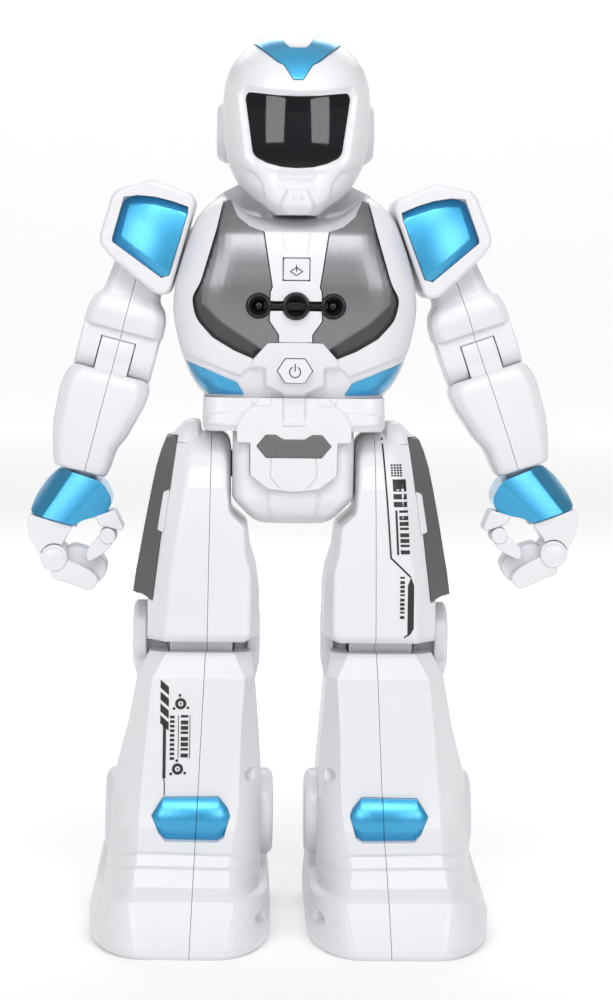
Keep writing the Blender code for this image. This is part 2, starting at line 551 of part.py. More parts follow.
def build_arm(side_name, side):
    tilt = -side * math.radians(ARM_TILT_DEG[side_name])
    shoulder = joint_frame(f"shoulder_{side_name}", (side * SHOULDER_OUT, 0, SHOULDER_HEIGHT), tilt, ROBOT)
    elbow = (0, 0, -ELBOW_DROP)
    wrist = (0, 0, -WRIST_DROP)
    inner_half, outer_half = seam_halves(-0.3, side, shoulder, f"arm_{side_name}")

    cap = prism(f"shoulder_cap_{side_name}", CAP_OUTLINE, -16, 16.5, side, shoulder)
    add(cap, rod(f"shoulder_pin_{side_name}", "x", (0, 0), (-16.5, -8), 6.0, side, shoulder))
    insert_seat = prism(f"insert_seat_{side_name}", grown(CAP_INSERT, GAP), 13.4, 40, side, shoulder)
    arm_room = loft(f"arm_room_{side_name}", inset(UPPER_ARM, -GAP, -6, -GAP), side, shoulder)
    cap_room = box(f"cap_room_{side_name}", (-7.5, 8.5), (-12.5, 11), (-9.7, 9), side, shoulder)
    cut(cap, insert_seat, arm_room, cap_room)
    finish(cap, WHITE)
    finish(prism(f"shoulder_insert_{side_name}", CAP_INSERT, 13.7, 16.1, side, shoulder), BLUE)

    ear_top = box(f"ear_top_{side_name}", (-11.5, 11.0), (-7.2, 7.2), (-34.1, -27), side, shoulder)
    ear_round = rod(f"ear_round_{side_name}", "x", (0, -ELBOW_DROP), (-11.6, 11.1), ELBOW_RADIUS, side, shoulder)
    tongue_room = rod(f"tongue_room_{side_name}", "x", (0, -ELBOW_DROP), (-5.2, 5.2), 8.3, side, shoulder)
    tongue_slot = box(f"tongue_slot_{side_name}", (-5.25, 5.25), (-20, 20), (-50, -34.5), side, shoulder)
    arm_cavity = box(f"upper_cavity_{side_name}", (-6.5, 6.0), (-6.5, 6.5), (-24.2, -13), side, shoulder)
    for name, half in (("upper_arm_outer", inner_half), ("upper_arm_inner", outer_half)):
        upper = loft(f"{name}_{side_name}", UPPER_ARM, side, shoulder)
        add(upper, ear_top, ear_round)
        cut(upper, tongue_room, tongue_slot, arm_cavity, half)
        finish(upper, WHITE)

    tongue_base = box(f"tongue_base_{side_name}", (-4.8, 4.8), (-7.2, 7.2), (-46, -34.1), side, shoulder)
    tongue = rod(f"tongue_{side_name}", "x", (0, -ELBOW_DROP), (-4.9, 4.9), ELBOW_RADIUS, side, shoulder)
    ear_rooms = [rod(f"ear_room_{n}_{side_name}", "x", (0, -ELBOW_DROP), span, 8.3, side, shoulder)
                 for n, span in (("in", (-20, -4.95)), ("out", (4.95, 20)))]
    peg_hole = rod(f"peg_hole_{side_name}", "up", (0, 0), (-80, -62), 4.4, side, shoulder)
    fore_cavity = box(f"fore_cavity_{side_name}", (-5.5, 8.0), (-7, 7), (-67, -46.5), side, shoulder)
    for name, half in (("forearm_outer", inner_half), ("forearm_inner", outer_half)):
        fore = loft(f"{name}_{side_name}", FOREARM, side, shoulder)
        add(fore, tongue_base, tongue)
        cut(fore, *ear_rooms, peg_hole, fore_cavity, half)
        finish(fore, WHITE, elbow)
    build_hand(side_name, side, shoulder, wrist)


def build_hand(side_name, side, shoulder, wrist):
    cuff = prism(f"hand_cuff_{side_name}", CUFF_OUTLINE, -8.5, 9.0, side, shoulder)
    core_room = box(f"core_room_{side_name}", (-6.3, 8.6), (-5.3, 5.3), (-90, -60), side, shoulder)
    stub_room = box(f"stub_room_{side_name}", (-15, -6), (-2.5, 8.0), (-84.6, -80.0), side, shoulder)
    cut(cuff, core_room, stub_room)
    finish(cuff, BLUE, wrist)

    palm = prism(f"hand_palm_{side_name}", PALM_OUTLINE, -7.5, 8.5, side, shoulder)
    core = box(f"palm_core_{side_name}", (-6.0, 8.3), (-5.0, 5.0), (-87.2, -73.0), side, shoulder)
    peg = rod(f"wrist_peg_{side_name}", "up", (0, 0), (-76, -64), 4.0, side, shoulder)
    stub = box(f"thumb_stub_{side_name}", (-11, -5), (-2.2, 4.6), (-84.3, -80.3), side, shoulder)
    root = prism(f"thumb_root_{side_name}", THUMB_ROOT, -2.2, 7.7, side, shoulder)
    tab = rod(f"thumb_tab_{side_name}", "forward", THUMB_PIVOT, (-2.2, 3.2), 2.5, side, shoulder, 16)
    knuckle_room = rod(f"knuckle_room_{side_name}", "forward", KNUCKLE, (-20, 20), KNUCKLE_RADIUS + GAP, side,
                       shoulder)
    trim = box(f"root_trim_{side_name}", (-9.3, -4.7), (4.7, 20), (-86, -78), side, shoulder)
    cut(root, trim)
    add(palm, core, peg, stub, root, tab)
    cut(palm, knuckle_room)
    finish(palm, WHITE, wrist)

    fingers = rod(f"fingers_{side_name}", "forward", KNUCKLE, (-8.0, 9.2), KNUCKLE_RADIUS, side, shoulder)
    add(fingers, prism(f"finger_near_{side_name}", FINGER_NEAR, 2.8, 8.6, side, shoulder))
    add(fingers, prism(f"finger_far_{side_name}", FINGER_FAR, -8.0, 3.1, side, shoulder))
    finish(fingers, WHITE, (side * KNUCKLE[0], 0, KNUCKLE[1]))

    thumb = rod(f"thumb_{side_name}", "forward", THUMB_PIVOT, (3.6, 8.4), 2.3, side, shoulder, 16)
    add(thumb, prism(f"thumb_tip_{side_name}", THUMB_TIP, 3.6, 8.0, side, shoulder))
    finish(thumb, WHITE, (side * THUMB_PIVOT[0], 0, THUMB_PIVOT[1]))


# ---------------------------------------------------------------- legs

def leg_halves(side, label, low, high):
    """Half-spaces beside a seam that leans outward towards the foot."""
    (z_low, at_low), (z_high, at_high) = low, high
    inner = [(at_low + GAP / 2, z_low), (at_high + GAP / 2, z_high), (-FAR, z_high), (-FAR, z_low)]
    outer = [(at_low - GAP / 2, z_low), (at_high - GAP / 2, z_high), (FAR, z_high), (FAR, z_low)]
    return (prism(f"inner_half_{label}", inner, -FAR, FAR, side),
            prism(f"outer_half_{label}", outer, -FAR, FAR, side))


def build_thigh(side_name, side):
    hip = (0, 0, HIP_HEIGHT)
    inner_half, outer_half = leg_halves(side, f"thigh_{side_name}", (60, 24.4), (160, 23.4))
    upper_room = loft(f"thigh_room_{side_name}", inset([r for r in THIGH if r[0] > 90], WALL, 3, WALL), side)
    lower_room = box(f"thigh_low_room_{side_name}", (11.2, 43.2), (-16.8, 18.0), (70, 96), side)
    neck = box(f"knuckle_neck_{side_name}", (16.9, 35.0), (-9, 9), (KNEE_HEIGHT, 98), side)
    knuckle = rod(f"knee_knuckle_{side_name}", "x", (0, KNEE_HEIGHT), (16.9, 35.0), 11.0, side)
    wire_way = rod(f"knee_wire_way_{side_name}", "up", (28, 0), (60, 110), 3.0, side, sides=12)
    pin_hole = rod(f"hip_pin_hole_{side_name}", "x", (0, HIP_HEIGHT), (10, 26), HIP_PIN_RADIUS + GAP, side)
    ear_rooms = [rod(f"knee_ear_room_{n}_{side_name}", "x", (-1, KNEE_HEIGHT), span, KNEE_EAR_RADIUS + 0.6, side)
                 for n, span in (("in", (0, 12.8)), ("out", (41.8, 60)))]
    panel_cut = prism(f"panel_cut_{side_name}", grown(THIGH_PANEL, GAP), -15.3, 60, side)
    panel_inside = loft(f"panel_inside_{side_name}", inset(THIGH, 2.3), side)
    cut(panel_cut, panel_inside)
    thigh_wall = inset([r for r in THIGH if r[0] > 90], WALL + 2.3, 3, WALL)
    deep_room = loft(f"thigh_deep_room_{side_name}", thigh_wall, side)
    for name, half in (("thigh_outer", inner_half), ("thigh_inner", outer_half)):
        shell = loft(f"{name}_{side_name}", THIGH, side)
        if name == "thigh_outer":
            add(shell, loft(f"thigh_dome_{side_name}", THIGH_DOME, side))
        cut(shell, deep_room if name == "thigh_outer" else upper_room, lower_room)
        add(shell, neck, knuckle)
        cut(shell, pin_hole, wire_way, *ear_rooms, half)
        if name == "thigh_outer":
            cut(shell, panel_cut)
        finish(shell, WHITE, hip)
    panel = prism(f"thigh_panel_{side_name}", THIGH_PANEL, -15, 60, side)
    keep(panel, loft(f"panel_outside_{side_name}", THIGH, side))
    cut(panel, loft(f"panel_back_{side_name}", inset(THIGH, 2.0), side))
    finish(panel, GREY, hip)


def build_shin(side_name, side):
    knee = (0, 0, KNEE_HEIGHT)
    inner_half, outer_half = leg_halves(side, f"shin_{side_name}", (-20, 28.9), (100, 23.8))
    room = loft(f"shin_room_{side_name}", inset(SHIN, WALL, -6, WALL), side)
    knuckle_room = box(f"knuckle_slot_{side_name}", (16.4, 35.5), (-12.6, 12.6), (70, 90), side)
    insert_seat = prism(f"ankle_seat_{side_name}", grown(ANKLE_INSERT, GAP), 18.0, 60, side)
    seat_wall = prism(f"ankle_seat_wall_{side_name}", grown(ANKLE_INSERT, 2.0), 16.2, 23.5, side)
    keep(seat_wall, loft(f"seat_wall_limit_{side_name}", SHIN, side))
    for name, half, ear, disc in (
        ("shin_outer", inner_half, (42.2, 45.8), (45.0, 53.4)),
        ("shin_inner", outer_half, (9.0, 12.4), (4.6, 13.0)),
    ):
        shell = loft(f"{name}_{side_name}", SHIN, side)
        cut(shell, room)
        centre = (-2, ANKLE_HEIGHT)
        boss = rod(f"{name}_ankle_disc_{side_name}", "x", centre, disc, ANKLE_RADIUS, side, sides=20)
        add(shell, boss)
        add(shell, rod(f"{name}_knee_disc_{side_name}", "x", (-1, KNEE_HEIGHT), ear, KNEE_EAR_RADIUS, side))
        add(shell, box(f"{name}_knee_strap_{side_name}", ear, (-7.5, 5.5), (70, KNEE_HEIGHT), side))
        add(shell, seat_wall)
        cut(shell, knuckle_room, insert_seat, half)
        finish(shell, WHITE, knee)
    insert = prism(f"ankle_insert_{side_name}", ANKLE_INSERT, 18.4, 60, side)
    keep(insert, rod(f"ankle_round_{side_name}", "x", (19.3, 33.6), (10, 46), 9.6, side, sides=24))
    finish(insert, BLUE, knee)


def build_foot(side_name, side):
    knee = (0, 0, KNEE_HEIGHT)
    first = SHIN[0]
    flat = inset([(1.0, *first[1:]), (3.0, *first[1:])], 2.6)
    plate_node = loft(f"sole_plate_{side_name}", flat, side)
    add(plate_node, box(f"front_glide_{side_name}", (18, 42), (26, 34), (0.0, 1.6), side))
    slots = [box(f"wheel_slot_{n}_{side_name}", span, (-21.5, -6.5), (-2, 5), side)
             for n, span in (("in", (17.2, 23.8)), ("out", (36.2, 42.8)))]
    cut(plate_node, *slots)
    finish(plate_node, GREY, knee)
    centre = (WHEEL_BACK, WHEEL_RADIUS)
    wheels = rod(f"drive_wheels_{side_name}", "x", centre, (15.8, 44.0), 1.5, side, sides=12)
    add(wheels, rod(f"wheel_in_{side_name}", "x", centre, (18.0, 23.0), WHEEL_RADIUS, side, sides=24))
    add(wheels, rod(f"wheel_out_{side_name}", "x", centre, (37.0, 42.0), WHEEL_RADIUS, side, sides=24))
    finish(wheels, TYRE, (0, -WHEEL_BACK, WHEEL_RADIUS))
    motor = box(f"foot_motor_{side_name}", (24.6, 34.4), (-22, 8), (3.6, 22), side)
    cut(motor, rod(f"motor_axle_hole_{side_name}", "x", centre, (10, 50), 1.9, side, sides=12))
    finish(motor, INNER, knee)


def main():
    build_head()
    build_torso()
    build_waist()
    for side_name, side in (("left", 1), ("right", -1)):
        build_arm(side_name, side)
        build_thigh(side_name, side)
        build_shin(side_name, side)
        build_foot(side_name, side)


main()
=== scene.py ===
"""The looks of the walking toy robot: fine shells, painted inserts, printed marks, light and camera.

Sizes are in millimetres in the robot's own frame: x to its left, "forward" the way it faces, z up from
the floor.
"""

import math

import bmesh
import bpy
import numpy as np
from mathutils import Matrix, Vector
from mathutils.bvhtree import BVHTree


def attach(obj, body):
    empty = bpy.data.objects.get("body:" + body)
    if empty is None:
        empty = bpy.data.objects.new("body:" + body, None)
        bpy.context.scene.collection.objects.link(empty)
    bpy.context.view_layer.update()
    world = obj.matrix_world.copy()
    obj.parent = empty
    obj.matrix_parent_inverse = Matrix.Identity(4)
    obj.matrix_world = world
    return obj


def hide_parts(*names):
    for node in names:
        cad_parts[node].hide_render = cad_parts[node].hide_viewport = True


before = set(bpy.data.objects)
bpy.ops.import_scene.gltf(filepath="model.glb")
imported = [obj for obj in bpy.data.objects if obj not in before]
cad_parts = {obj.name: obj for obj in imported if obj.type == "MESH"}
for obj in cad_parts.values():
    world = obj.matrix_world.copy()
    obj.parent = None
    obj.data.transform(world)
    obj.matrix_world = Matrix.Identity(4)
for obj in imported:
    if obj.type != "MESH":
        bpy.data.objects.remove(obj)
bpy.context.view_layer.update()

MM = 0.001
MIDDLE = (-3.2, 4.0)
GAP = 0.12
SHELL_SPLIT = -2.0
FAR = 60  # a depth in front of the whole robot
SHOULDER = (43.0, 200.0)
ARM_TILT_DEG = {"left": 19.0, "right": 14.4}
ELBOW_DROP = 34.3
KNUCKLE = (1.8, -96.9)
THUMB_PIVOT = (-11.5, -86.9)
HIP_HEIGHT = 134
HIP_PIN_RADIUS = 4
KNEE_HEIGHT = 84.0
KNEE_DEPTH = -1
SIDES = (("left", 1), ("right", -1))

ROBOT = Matrix.Translation((MIDDLE[0], MIDDLE[1], 0))
CENTRE = (ROBOT, 1)


def limb(side):
    """The place of a piece that is drawn on the robot's left and mirrored for its right."""
    return ROBOT, side


def arm_place(side_name, side):
    """The hanging arm's own frame, with its origin on the shoulder's axis."""
    turn = Matrix.Rotation(-side * math.radians(ARM_TILT_DEG[side_name]), 4, "Y")
    return ROBOT @ Matrix.Translation((side * SHOULDER[0], 0, SHOULDER[1])) @ turn, side


# ---------------------------------------------------------------- meshes

def in_world(points, place):
    """(x, forward, up) points in a place's frame, as world points in metres."""
    matrix, side = place
    points = np.asarray(points, float).reshape(-1, 3)
    flat = np.column_stack((side * points[:, 0], -points[:, 1], points[:, 2], np.ones(len(points))))
    return (flat @ np.array(matrix).T)[:, :3] * MM


def new_object(name, bm):
    bmesh.ops.recalc_face_normals(bm, faces=bm.faces)
    mesh = bpy.data.meshes.new(name)
    bm.to_mesh(mesh)
    bm.free()
    obj = bpy.data.objects.new(name, mesh)
    bpy.context.scene.collection.objects.link(obj)
    return obj


def solid(name, points, faces, place):
    bm = bmesh.new()
    verts = [bm.verts.new(p) for p in in_world(points, place)]
    for face in faces:
        bm.faces.new([verts[i] for i in face])
    return new_object(name, bm)


def skin(name, rings, place):
    """A closed skin over rings of points, given as an array of [ring, point, xyz]."""
    rings = np.asarray(rings, float)
    rows, count = rings.shape[:2]
    faces = [tuple(range(count)), tuple(range((rows - 1) * count, rows * count))]
    for row in range(rows - 1):
        base = row * count
        for i in range(count):
            j = (i + 1) % count
            faces.append((base + i, base + j, base + count + j, base + count + i))
    return solid(name, rings, faces, place)


def rounded(outline, radius, steps=4, beyond_x=0.0):
    """The outline with rounded corners, or with only those rounded that lie further out than beyond_x."""
    made = []
    count = len(outline)
    for i, corner in enumerate(outline):
        if abs(corner[0]) < beyond_x:
            made.append(tuple(corner))
            continue
        here = Vector(corner)
        before = Vector(outline[i - 1]) - here
        after = Vector(outline[(i + 1) % count]) - here
        reach = min(radius, 0.45 * before.length, 0.45 * after.length)
        start = here + before.normalized() * reach
        end = here + after.normalized() * reach
        for step in range(steps + 1):
            t = step / steps
            made.append(tuple(start * (1 - t) ** 2 + here * 2 * t * (1 - t) + end * t * t))
    return made


def prism(name, outline, back, front, place):
    """A flat outline seen from the front, between two depths."""
    count = len(outline)
    points = [(x, back, z) for x, z in outline] + [(x, front, z) for x, z in outline]
    faces = [tuple(range(count)), tuple(range(count, 2 * count))]
    faces += [(i, (i + 1) % count, count + (i + 1) % count, count + i) for i in range(count)]
    return solid(name, points, faces, place)


def relief(name, x, z, step, front, back, place):
    """A block whose front follows front(x, z), and whose back is flat."""
    across = np.linspace(*x, int((x[1] - x[0]) / step) + 1)
    up = np.linspace(*z, int((z[1] - z[0]) / step) + 1)
    xs, zs = np.meshgrid(across, up)
    face = np.stack((xs, front(xs, zs), zs), axis=-1)
    behind = face.copy()
    behind[..., 1] = back
    rings = np.concatenate((behind[:, :1], face, behind[:, -1:]), axis=1)
    return skin(name, rings, place)


def box(name, x, forward, z, place):
    return prism(name, [(x[0], z[0]), (x[1], z[0]), (x[1], z[1]), (x[0], z[1])], *forward, place)


def turned(name, axis, at, profile, place, sides=48):
    """A turned piece, from (along, radius) pairs. `at` holds the two other coordinates of its axis."""
    angles = np.linspace(0, 2 * math.pi, sides, endpoint=False)
    rings = []
    for along, radius in profile:
        a, b = at[0] + radius * np.cos(angles), at[1] + radius * np.sin(angles)
        c = np.full(sides, float(along))
        rings.append(np.column_stack({"x": (c, a, b), "forward": (a, c, b), "up": (a, b, c)}[axis]))
    return skin(name, rings, place)


def settle(obj):
    """Applies the object's modifiers."""
    graph = bpy.context.evaluated_depsgraph_get()
    mesh = bpy.data.meshes.new_from_object(obj.evaluated_get(graph))
    obj.modifiers.clear()
    obj.data = mesh
    return obj


def combine(target, operation, *others):
    for other in others:
        modifier = target.modifiers.new(operation, "BOOLEAN")
        modifier.operation = operation
        modifier.object = other
    settle(target)
    for other in others:
        bpy.data.objects.remove(other, do_unlink=True)
    return target


def cut(target, *others):
    return combine(target, "DIFFERENCE", *others)


def add(target, *others):
    return combine(target, "UNION", *others)


def keep(target, *others):
    return combine(target, "INTERSECT", *others)


def copy_of(obj, name):
    made = bpy.data.objects.new(name, obj.data.copy())
    bpy.context.scene.collection.objects.link(made)
    return made


def round_edges(obj, width, angle=30.0, segments=3):
    """Rounds every edge sharper than the angle."""
    bevel = obj.modifiers.new("Round", "BEVEL")
    bevel.width = width * MM
    bevel.segments = segments
    bevel.limit_method = "ANGLE"
    bevel.angle_limit = math.radians(angle)
    bevel.use_clamp_overlap = True
    return settle(obj)


def slab(name, outline, back, front, place, width, corner=0.0, angle=30.0):
    """A prism with rounded edges, and with rounded corners where `corner` gives their radius."""
    outline = rounded(outline, corner) if corner else outline
    return round_edges(prism(name, outline, back, front, place), width, angle)


def slice_off(obj, point, normal, place):
    """Removes what lies on the normal's side of a plane, and closes the cut."""
    at = Vector(in_world(point, place)[0])
    tip = Vector(in_world(np.add(point, normal), place)[0])
    bm = bmesh.new()
    bm.from_mesh(obj.data)
    everything = bm.verts[:] + bm.edges[:] + bm.faces[:]
    made = bmesh.ops.bisect_plane(bm, geom=everything, plane_co=at, plane_no=tip - at, clear_outer=True)
    rim = [item for item in made["geom_cut"] if isinstance(item, bmesh.types.BMEdge)]
    bmesh.ops.edgeloop_fill(bm, edges=rim)
    bmesh.ops.recalc_face_normals(bm, faces=bm.faces)
    bm.to_mesh(obj.data)
    bm.free()
    return obj


def split_rear(whole, rear_name):
    """Splits a body into its front, which stays, and its rear, which comes back."""
    rear = copy_of(whole, rear_name)
    slice_off(whole, (0, SHELL_SPLIT + GAP / 2, 0), (0, -1, 0), CENTRE)
    slice_off(rear, (0, SHELL_SPLIT - GAP / 2, 0), (0, 1, 0), CENTRE)
    return rear


def shade(obj, angle=32.0):
    """Smooth shading with crisp edges where faces meet at more than the angle."""
    obj.data.shade_smooth()
    obj.data.set_sharp_from_angle(angle=math.radians(angle))
    weighted = obj.modifiers.new("Normals", "WEIGHTED_NORMAL")
    weighted.keep_sharp = True
    weighted.weight = 80
    return obj


def done(obj, material, body, *cad_nodes, angle=32.0):
    """Gives a finished piece its material, its body and the CAD nodes that it stands for."""
    obj.data.materials.clear()
    obj.data.materials.append(material)
    shade(obj, angle)
    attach(obj, body)
    if cad_nodes:
        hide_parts(*cad_nodes)
    return obj


# ---------------------------------------------------------------- smooth bodies from section tables

def smooth_columns(heights, values, at):
    """Monotone cubic interpolation of each column of values."""
    heights, values = np.asarray(heights, float), np.asarray(values, float)
    gaps = np.diff(heights)[:, None]
    slopes = np.diff(values, axis=0) / gaps
    tangents = np.zeros_like(values)
    same = slopes[1:] * slopes[:-1] > 0
    safe = np.where(same, slopes[1:] + slopes[:-1], 1.0)
    tangents[1:-1] = np.where(same, 2 * slopes[1:] * slopes[:-1] / safe, 0.0)
    tangents[0], tangents[-1] = slopes[0], slopes[-1]
    index = np.clip(np.searchsorted(heights, at, side="right") - 1, 0, len(gaps) - 1)
    t = ((at - heights[index]) / gaps[index, 0])[:, None]
    gap = gaps[index]
    low, high = values[index], values[index + 1]
    low_tangent, high_tangent = tangents[index] * gap, tangents[index + 1] * gap
    return (low * (2 * t ** 3 - 3 * t ** 2 + 1) + high * (3 * t ** 2 - 2 * t ** 3)
            + low_tangent * (t ** 3 - 2 * t ** 2 + t) + high_tangent * (t ** 3 - t ** 2))


def section(left, right, front, back, front_corner, back_corner, steps=14):
    """A rounded rectangle as (x, forward) points, from the middle of its back round the right side."""
    corners = [
        (right, back, -1, 1, back_corner, False), (right, front, -1, -1, front_corner, True),
        (left, front, 1, -1, front_corner, False), (left, back, 1, 1, back_corner, True),
    ]
    points = [((left + right) / 2, back)]
    for x, forward, into_x, into_forward, (wide, deep), swap in corners:
        for turn in np.linspace(0, math.pi / 2, steps):
            sx, sf = (math.cos(turn), math.sin(turn)) if swap else (math.sin(turn), math.cos(turn))
            points.append((x + into_x * wide * (1 - sx), forward + into_forward * deep * (1 - sf)))
    return np.array(points)


def body_rings(rows, spacing, front_step, back_share=0.35):
    """Dense rings through a section table, with finer columns on the front."""
    table = [(left, right, front, back, *fc, *bc) for _, left, right, front, back, fc, bc in rows]
    heights = [row[0] for row in rows]
    at = np.linspace(heights[0], heights[-1], int((heights[-1] - heights[0]) / spacing) + 1)
    values = smooth_columns(heights, table, at)
    weights = []
    outlines = []
    for value in values:
        line = section(*value[:4], value[4:6], value[6:8])
        line = np.vstack((line, line[:1]))
        middle = (line[1:, 1] + line[:-1, 1]) / 2
        share = np.where(middle > value[3] * 0.3 + value[2] * 0.1, 1.0, back_share)
        length = np.linalg.norm(np.diff(line, axis=0), axis=1) * share
        outlines.append(line)
        weights.append(np.concatenate(([0.0], np.cumsum(length))))
    full = max(w[-1] for w in weights)
    count = int(full / front_step)
    rings = np.empty((len(at), count, 3))
    for i, (line, weight) in enumerate(zip(outlines, weights)):
        want = np.linspace(0, weight[-1], count, endpoint=False)
        rings[i, :, 0] = np.interp(want, weight, line[:, 0])
        rings[i, :, 1] = np.interp(want, weight, line[:, 1])
        rings[i, :, 2] = at[i]
    return rings


def shrunk(rows, by):
    """The section table moved inward by a wall."""
    made = []
    for height, left, right, front, back, fc, bc in rows:
        fc = tuple(max(0.4, c - by) for c in fc)
        bc = tuple(max(0.4, c - by) for c in bc)
        made.append((height, left + by, right - by, front - by, back + by, fc, bc))
    return made


def from_line(x, z, start, end):
    """Distance of points from a straight line between two (x, z) points."""
    dx, dz = end[0] - start[0], end[1] - start[1]
    t = np.clip(((x - start[0]) * dx + (z - start[1]) * dz) / (dx * dx + dz * dz), 0, 1)
    return np.hypot(x - start[0] - t * dx, z - start[1] - t * dz)


def inside_of(points, outline):
    """Distance of (x, z) points from an outline, positive inside it."""
    x, z = points[..., 0], points[..., 2]
    nearest = np.full(x.shape, 1e9)
    within = np.zeros(x.shape, bool)
    for (ax, az), (bx, bz) in zip(outline, outline[1:] + outline[:1]):
        nearest = np.minimum(nearest, from_line(x, z, (ax, az), (bx, bz)))
        crosses = (az > z) != (bz > z)
        within ^= crosses & (x < ax + (z - az) / (bz - az if bz != az else 1e-9) * (bx - ax))
    return np.where(within, nearest, -nearest)


def ease(t):
    t = np.clip(t, 0, 1)
    return t * t * (3 - 2 * t)


def front_share(rings):
    """1 on the front, fading out before the side walls reach the middle."""
    return np.clip(rings[..., 1] / 8.0, 0, 1)


def raise_area(rings, outline, height, slope):
    """Moves the front forward inside an outline, rising over the slope's width inside its edge."""
    share = np.clip(inside_of(rings, outline) / slope + 0.5, 0, 1)
    rings[..., 1] += height * share * front_share(rings)


def raise_both(rings, outline, height, slope):
    """The same on both sides of the robot."""
    raise_area(rings, outline, height, slope)
    raise_area(rings, [(-x, z) for x, z in outline], height, slope)


def groove(rings, line, width, depth):
    """A narrow channel along an open line of (x, z) points."""
    nearest = np.full(rings.shape[:2], 1e9)
    x, z = rings[..., 0], rings[..., 2]
    for start, end in zip(line, line[1:]):
        nearest = np.minimum(nearest, from_line(x, z, start, end))
    rings[..., 1] -= depth * ease(1 - nearest / width) * front_share(rings)


def mirrored(half):
    return list(half) + [(-x, z) for x, z in reversed(half) if x > 0]


def octagon(z, inner, flat_in, flat_out, outer, front, front_side, back, back_side, back_inset=4.0):
    """One eight-sided section: a flat front and back with a slanting facet at each corner."""
    return [
        (outer, front_side, z), (flat_out, front, z), (flat_in, front, z), (inner, front_side, z),
        (inner, back_side, z), (inner + back_inset, back, z), (outer - back_inset, back, z),
        (outer, back_side, z),
    ]


def leg_section(z, inner, flat_in, flat_out, outer, front, front_side, back, back_side, roundness):
    """A leg's section, with front corners that run from flat facets (0) to round (1)."""
    ring = []
    for side, flat in ((outer, flat_out), (inner, flat_in)):
        corner = []
        for t in np.linspace(0, 1, 13):
            angle = t * math.pi / 2
            share_x = t + (1 - math.cos(angle) - t) * roundness
            share_f = t + (math.sin(angle) - t) * roundness
            corner.append((side + (flat - side) * share_x, front_side + (front - front_side) * share_f, z))
        ring += corner if side == outer else corner[::-1]
    inset = 0.24 * (outer - inner)
    turn = np.linspace(0, math.pi / 2, 7)
    heel = [(inner + inset * (1 - math.cos(a)), back_side + (back - back_side) * math.sin(a), z)
            for a in turn]
    return ring + heel + [(outer + inner - x, forward, z) for x, forward, z in heel[::-1]]


def from_row(row):
    """A section table's row as an eight-sided section."""
    z, left, right, front, back, (fw, fd), (bw, bd) = row
    return [
        (right, front - fd, z), (right - fw, front, z), (left + fw, front, z), (left, front - fd, z),
        (left, back + bd, z), (left + bw, back, z), (right - bw, back, z), (right, back + bd, z),
    ]


# ---------------------------------------------------------------- materials

def new_material(name, colour, roughness, metallic=0.0, coat=0.0, coat_roughness=0.05, ior=1.5):
    made = bpy.data.materials.new(name)
    made.use_nodes = True
    shader = made.node_tree.nodes["Principled BSDF"]
    for key, value in (("Base Color", (*colour, 1)), ("Roughness", roughness), ("Metallic", metallic),
                       ("Coat Weight", coat), ("Coat Roughness", coat_roughness), ("IOR", ior)):
        shader.inputs[key].default_value = value
    return made, made.node_tree, shader


def node(tree, kind, **settings):
    made = tree.nodes.new(kind)
    for name, value in settings.items():
        if name in made.inputs:
            made.inputs[name].default_value = value
        else:
            setattr(made, name.lower(), value)
    return made


def noise(tree, size, detail=3.0):
    """Noise whose blobs are about the given size in millimetres."""
    where = node(tree, "ShaderNodeTexCoord")
    made = node(tree, "ShaderNodeTexNoise", Scale=1000.0 / size, Detail=detail)
    tree.links.new(where.outputs["Object"], made.inputs["Vector"])
    return made.outputs["Fac"]


def spread(tree, value, low, high, from_low=0.3, from_high=0.7):
    made = node(tree, "ShaderNodeMapRange")
    ends = {"From Min": from_low, "From Max": from_high, "To Min": low, "To Max": high}
    for name, amount in ends.items():
        made.inputs[name].default_value = amount
    tree.links.new(value, made.inputs["Value"])
    return made.outputs["Result"]


def tint(tree, shader, colour, other, factor):
    """The shader's colour, a value or a node's output, varied towards another by a factor."""
    mix = node(tree, "ShaderNodeMix", data_type="RGBA")
    if isinstance(colour, tuple):
        mix.inputs["A"].default_value = (*colour, 1)
    else:
        tree.links.new(colour, mix.inputs["A"])
    mix.inputs["B"].default_value = (*other, 1)
    tree.links.new(factor, mix.inputs["Factor"])
    tree.links.new(mix.outputs["Result"], shader.inputs["Base Color"])
    return mix.outputs["Result"]


def fine_surface(tree, shader, height, depth, strength=1.0, edge=0.22):
    """A fine texture that follows a height, over edges that are a little rounded."""
    round_edge = node(tree, "ShaderNodeBevel")
    round_edge.samples = 4
    round_edge.inputs["Radius"].default_value = edge * MM
    bump = node(tree, "ShaderNodeBump")
    bump.inputs["Strength"].default_value = strength
    bump.inputs["Distance"].default_value = depth * MM
    tree.links.new(height, bump.inputs["Height"])
    tree.links.new(round_edge.outputs["Normal"], bump.inputs["Normal"])
    tree.links.new(bump.outputs["Normal"], shader.inputs["Normal"])


def moulded_plastic(name, colour, other, roughness, texture_size=0.9, depth=0.002):
    """Injection-moulded plastic: faint clouding, an uneven shine and a fine pebbled surface."""
    made, tree, shader = new_material(name, colour, roughness[0])
    tint(tree, shader, colour, other, spread(tree, noise(tree, 34.0), 0.0, 1.0))
    tree.links.new(spread(tree, noise(tree, 22.0, 2.0), *roughness), shader.inputs["Roughness"])
    fine_surface(tree, shader, noise(tree, texture_size, 4.0), depth)
    return made


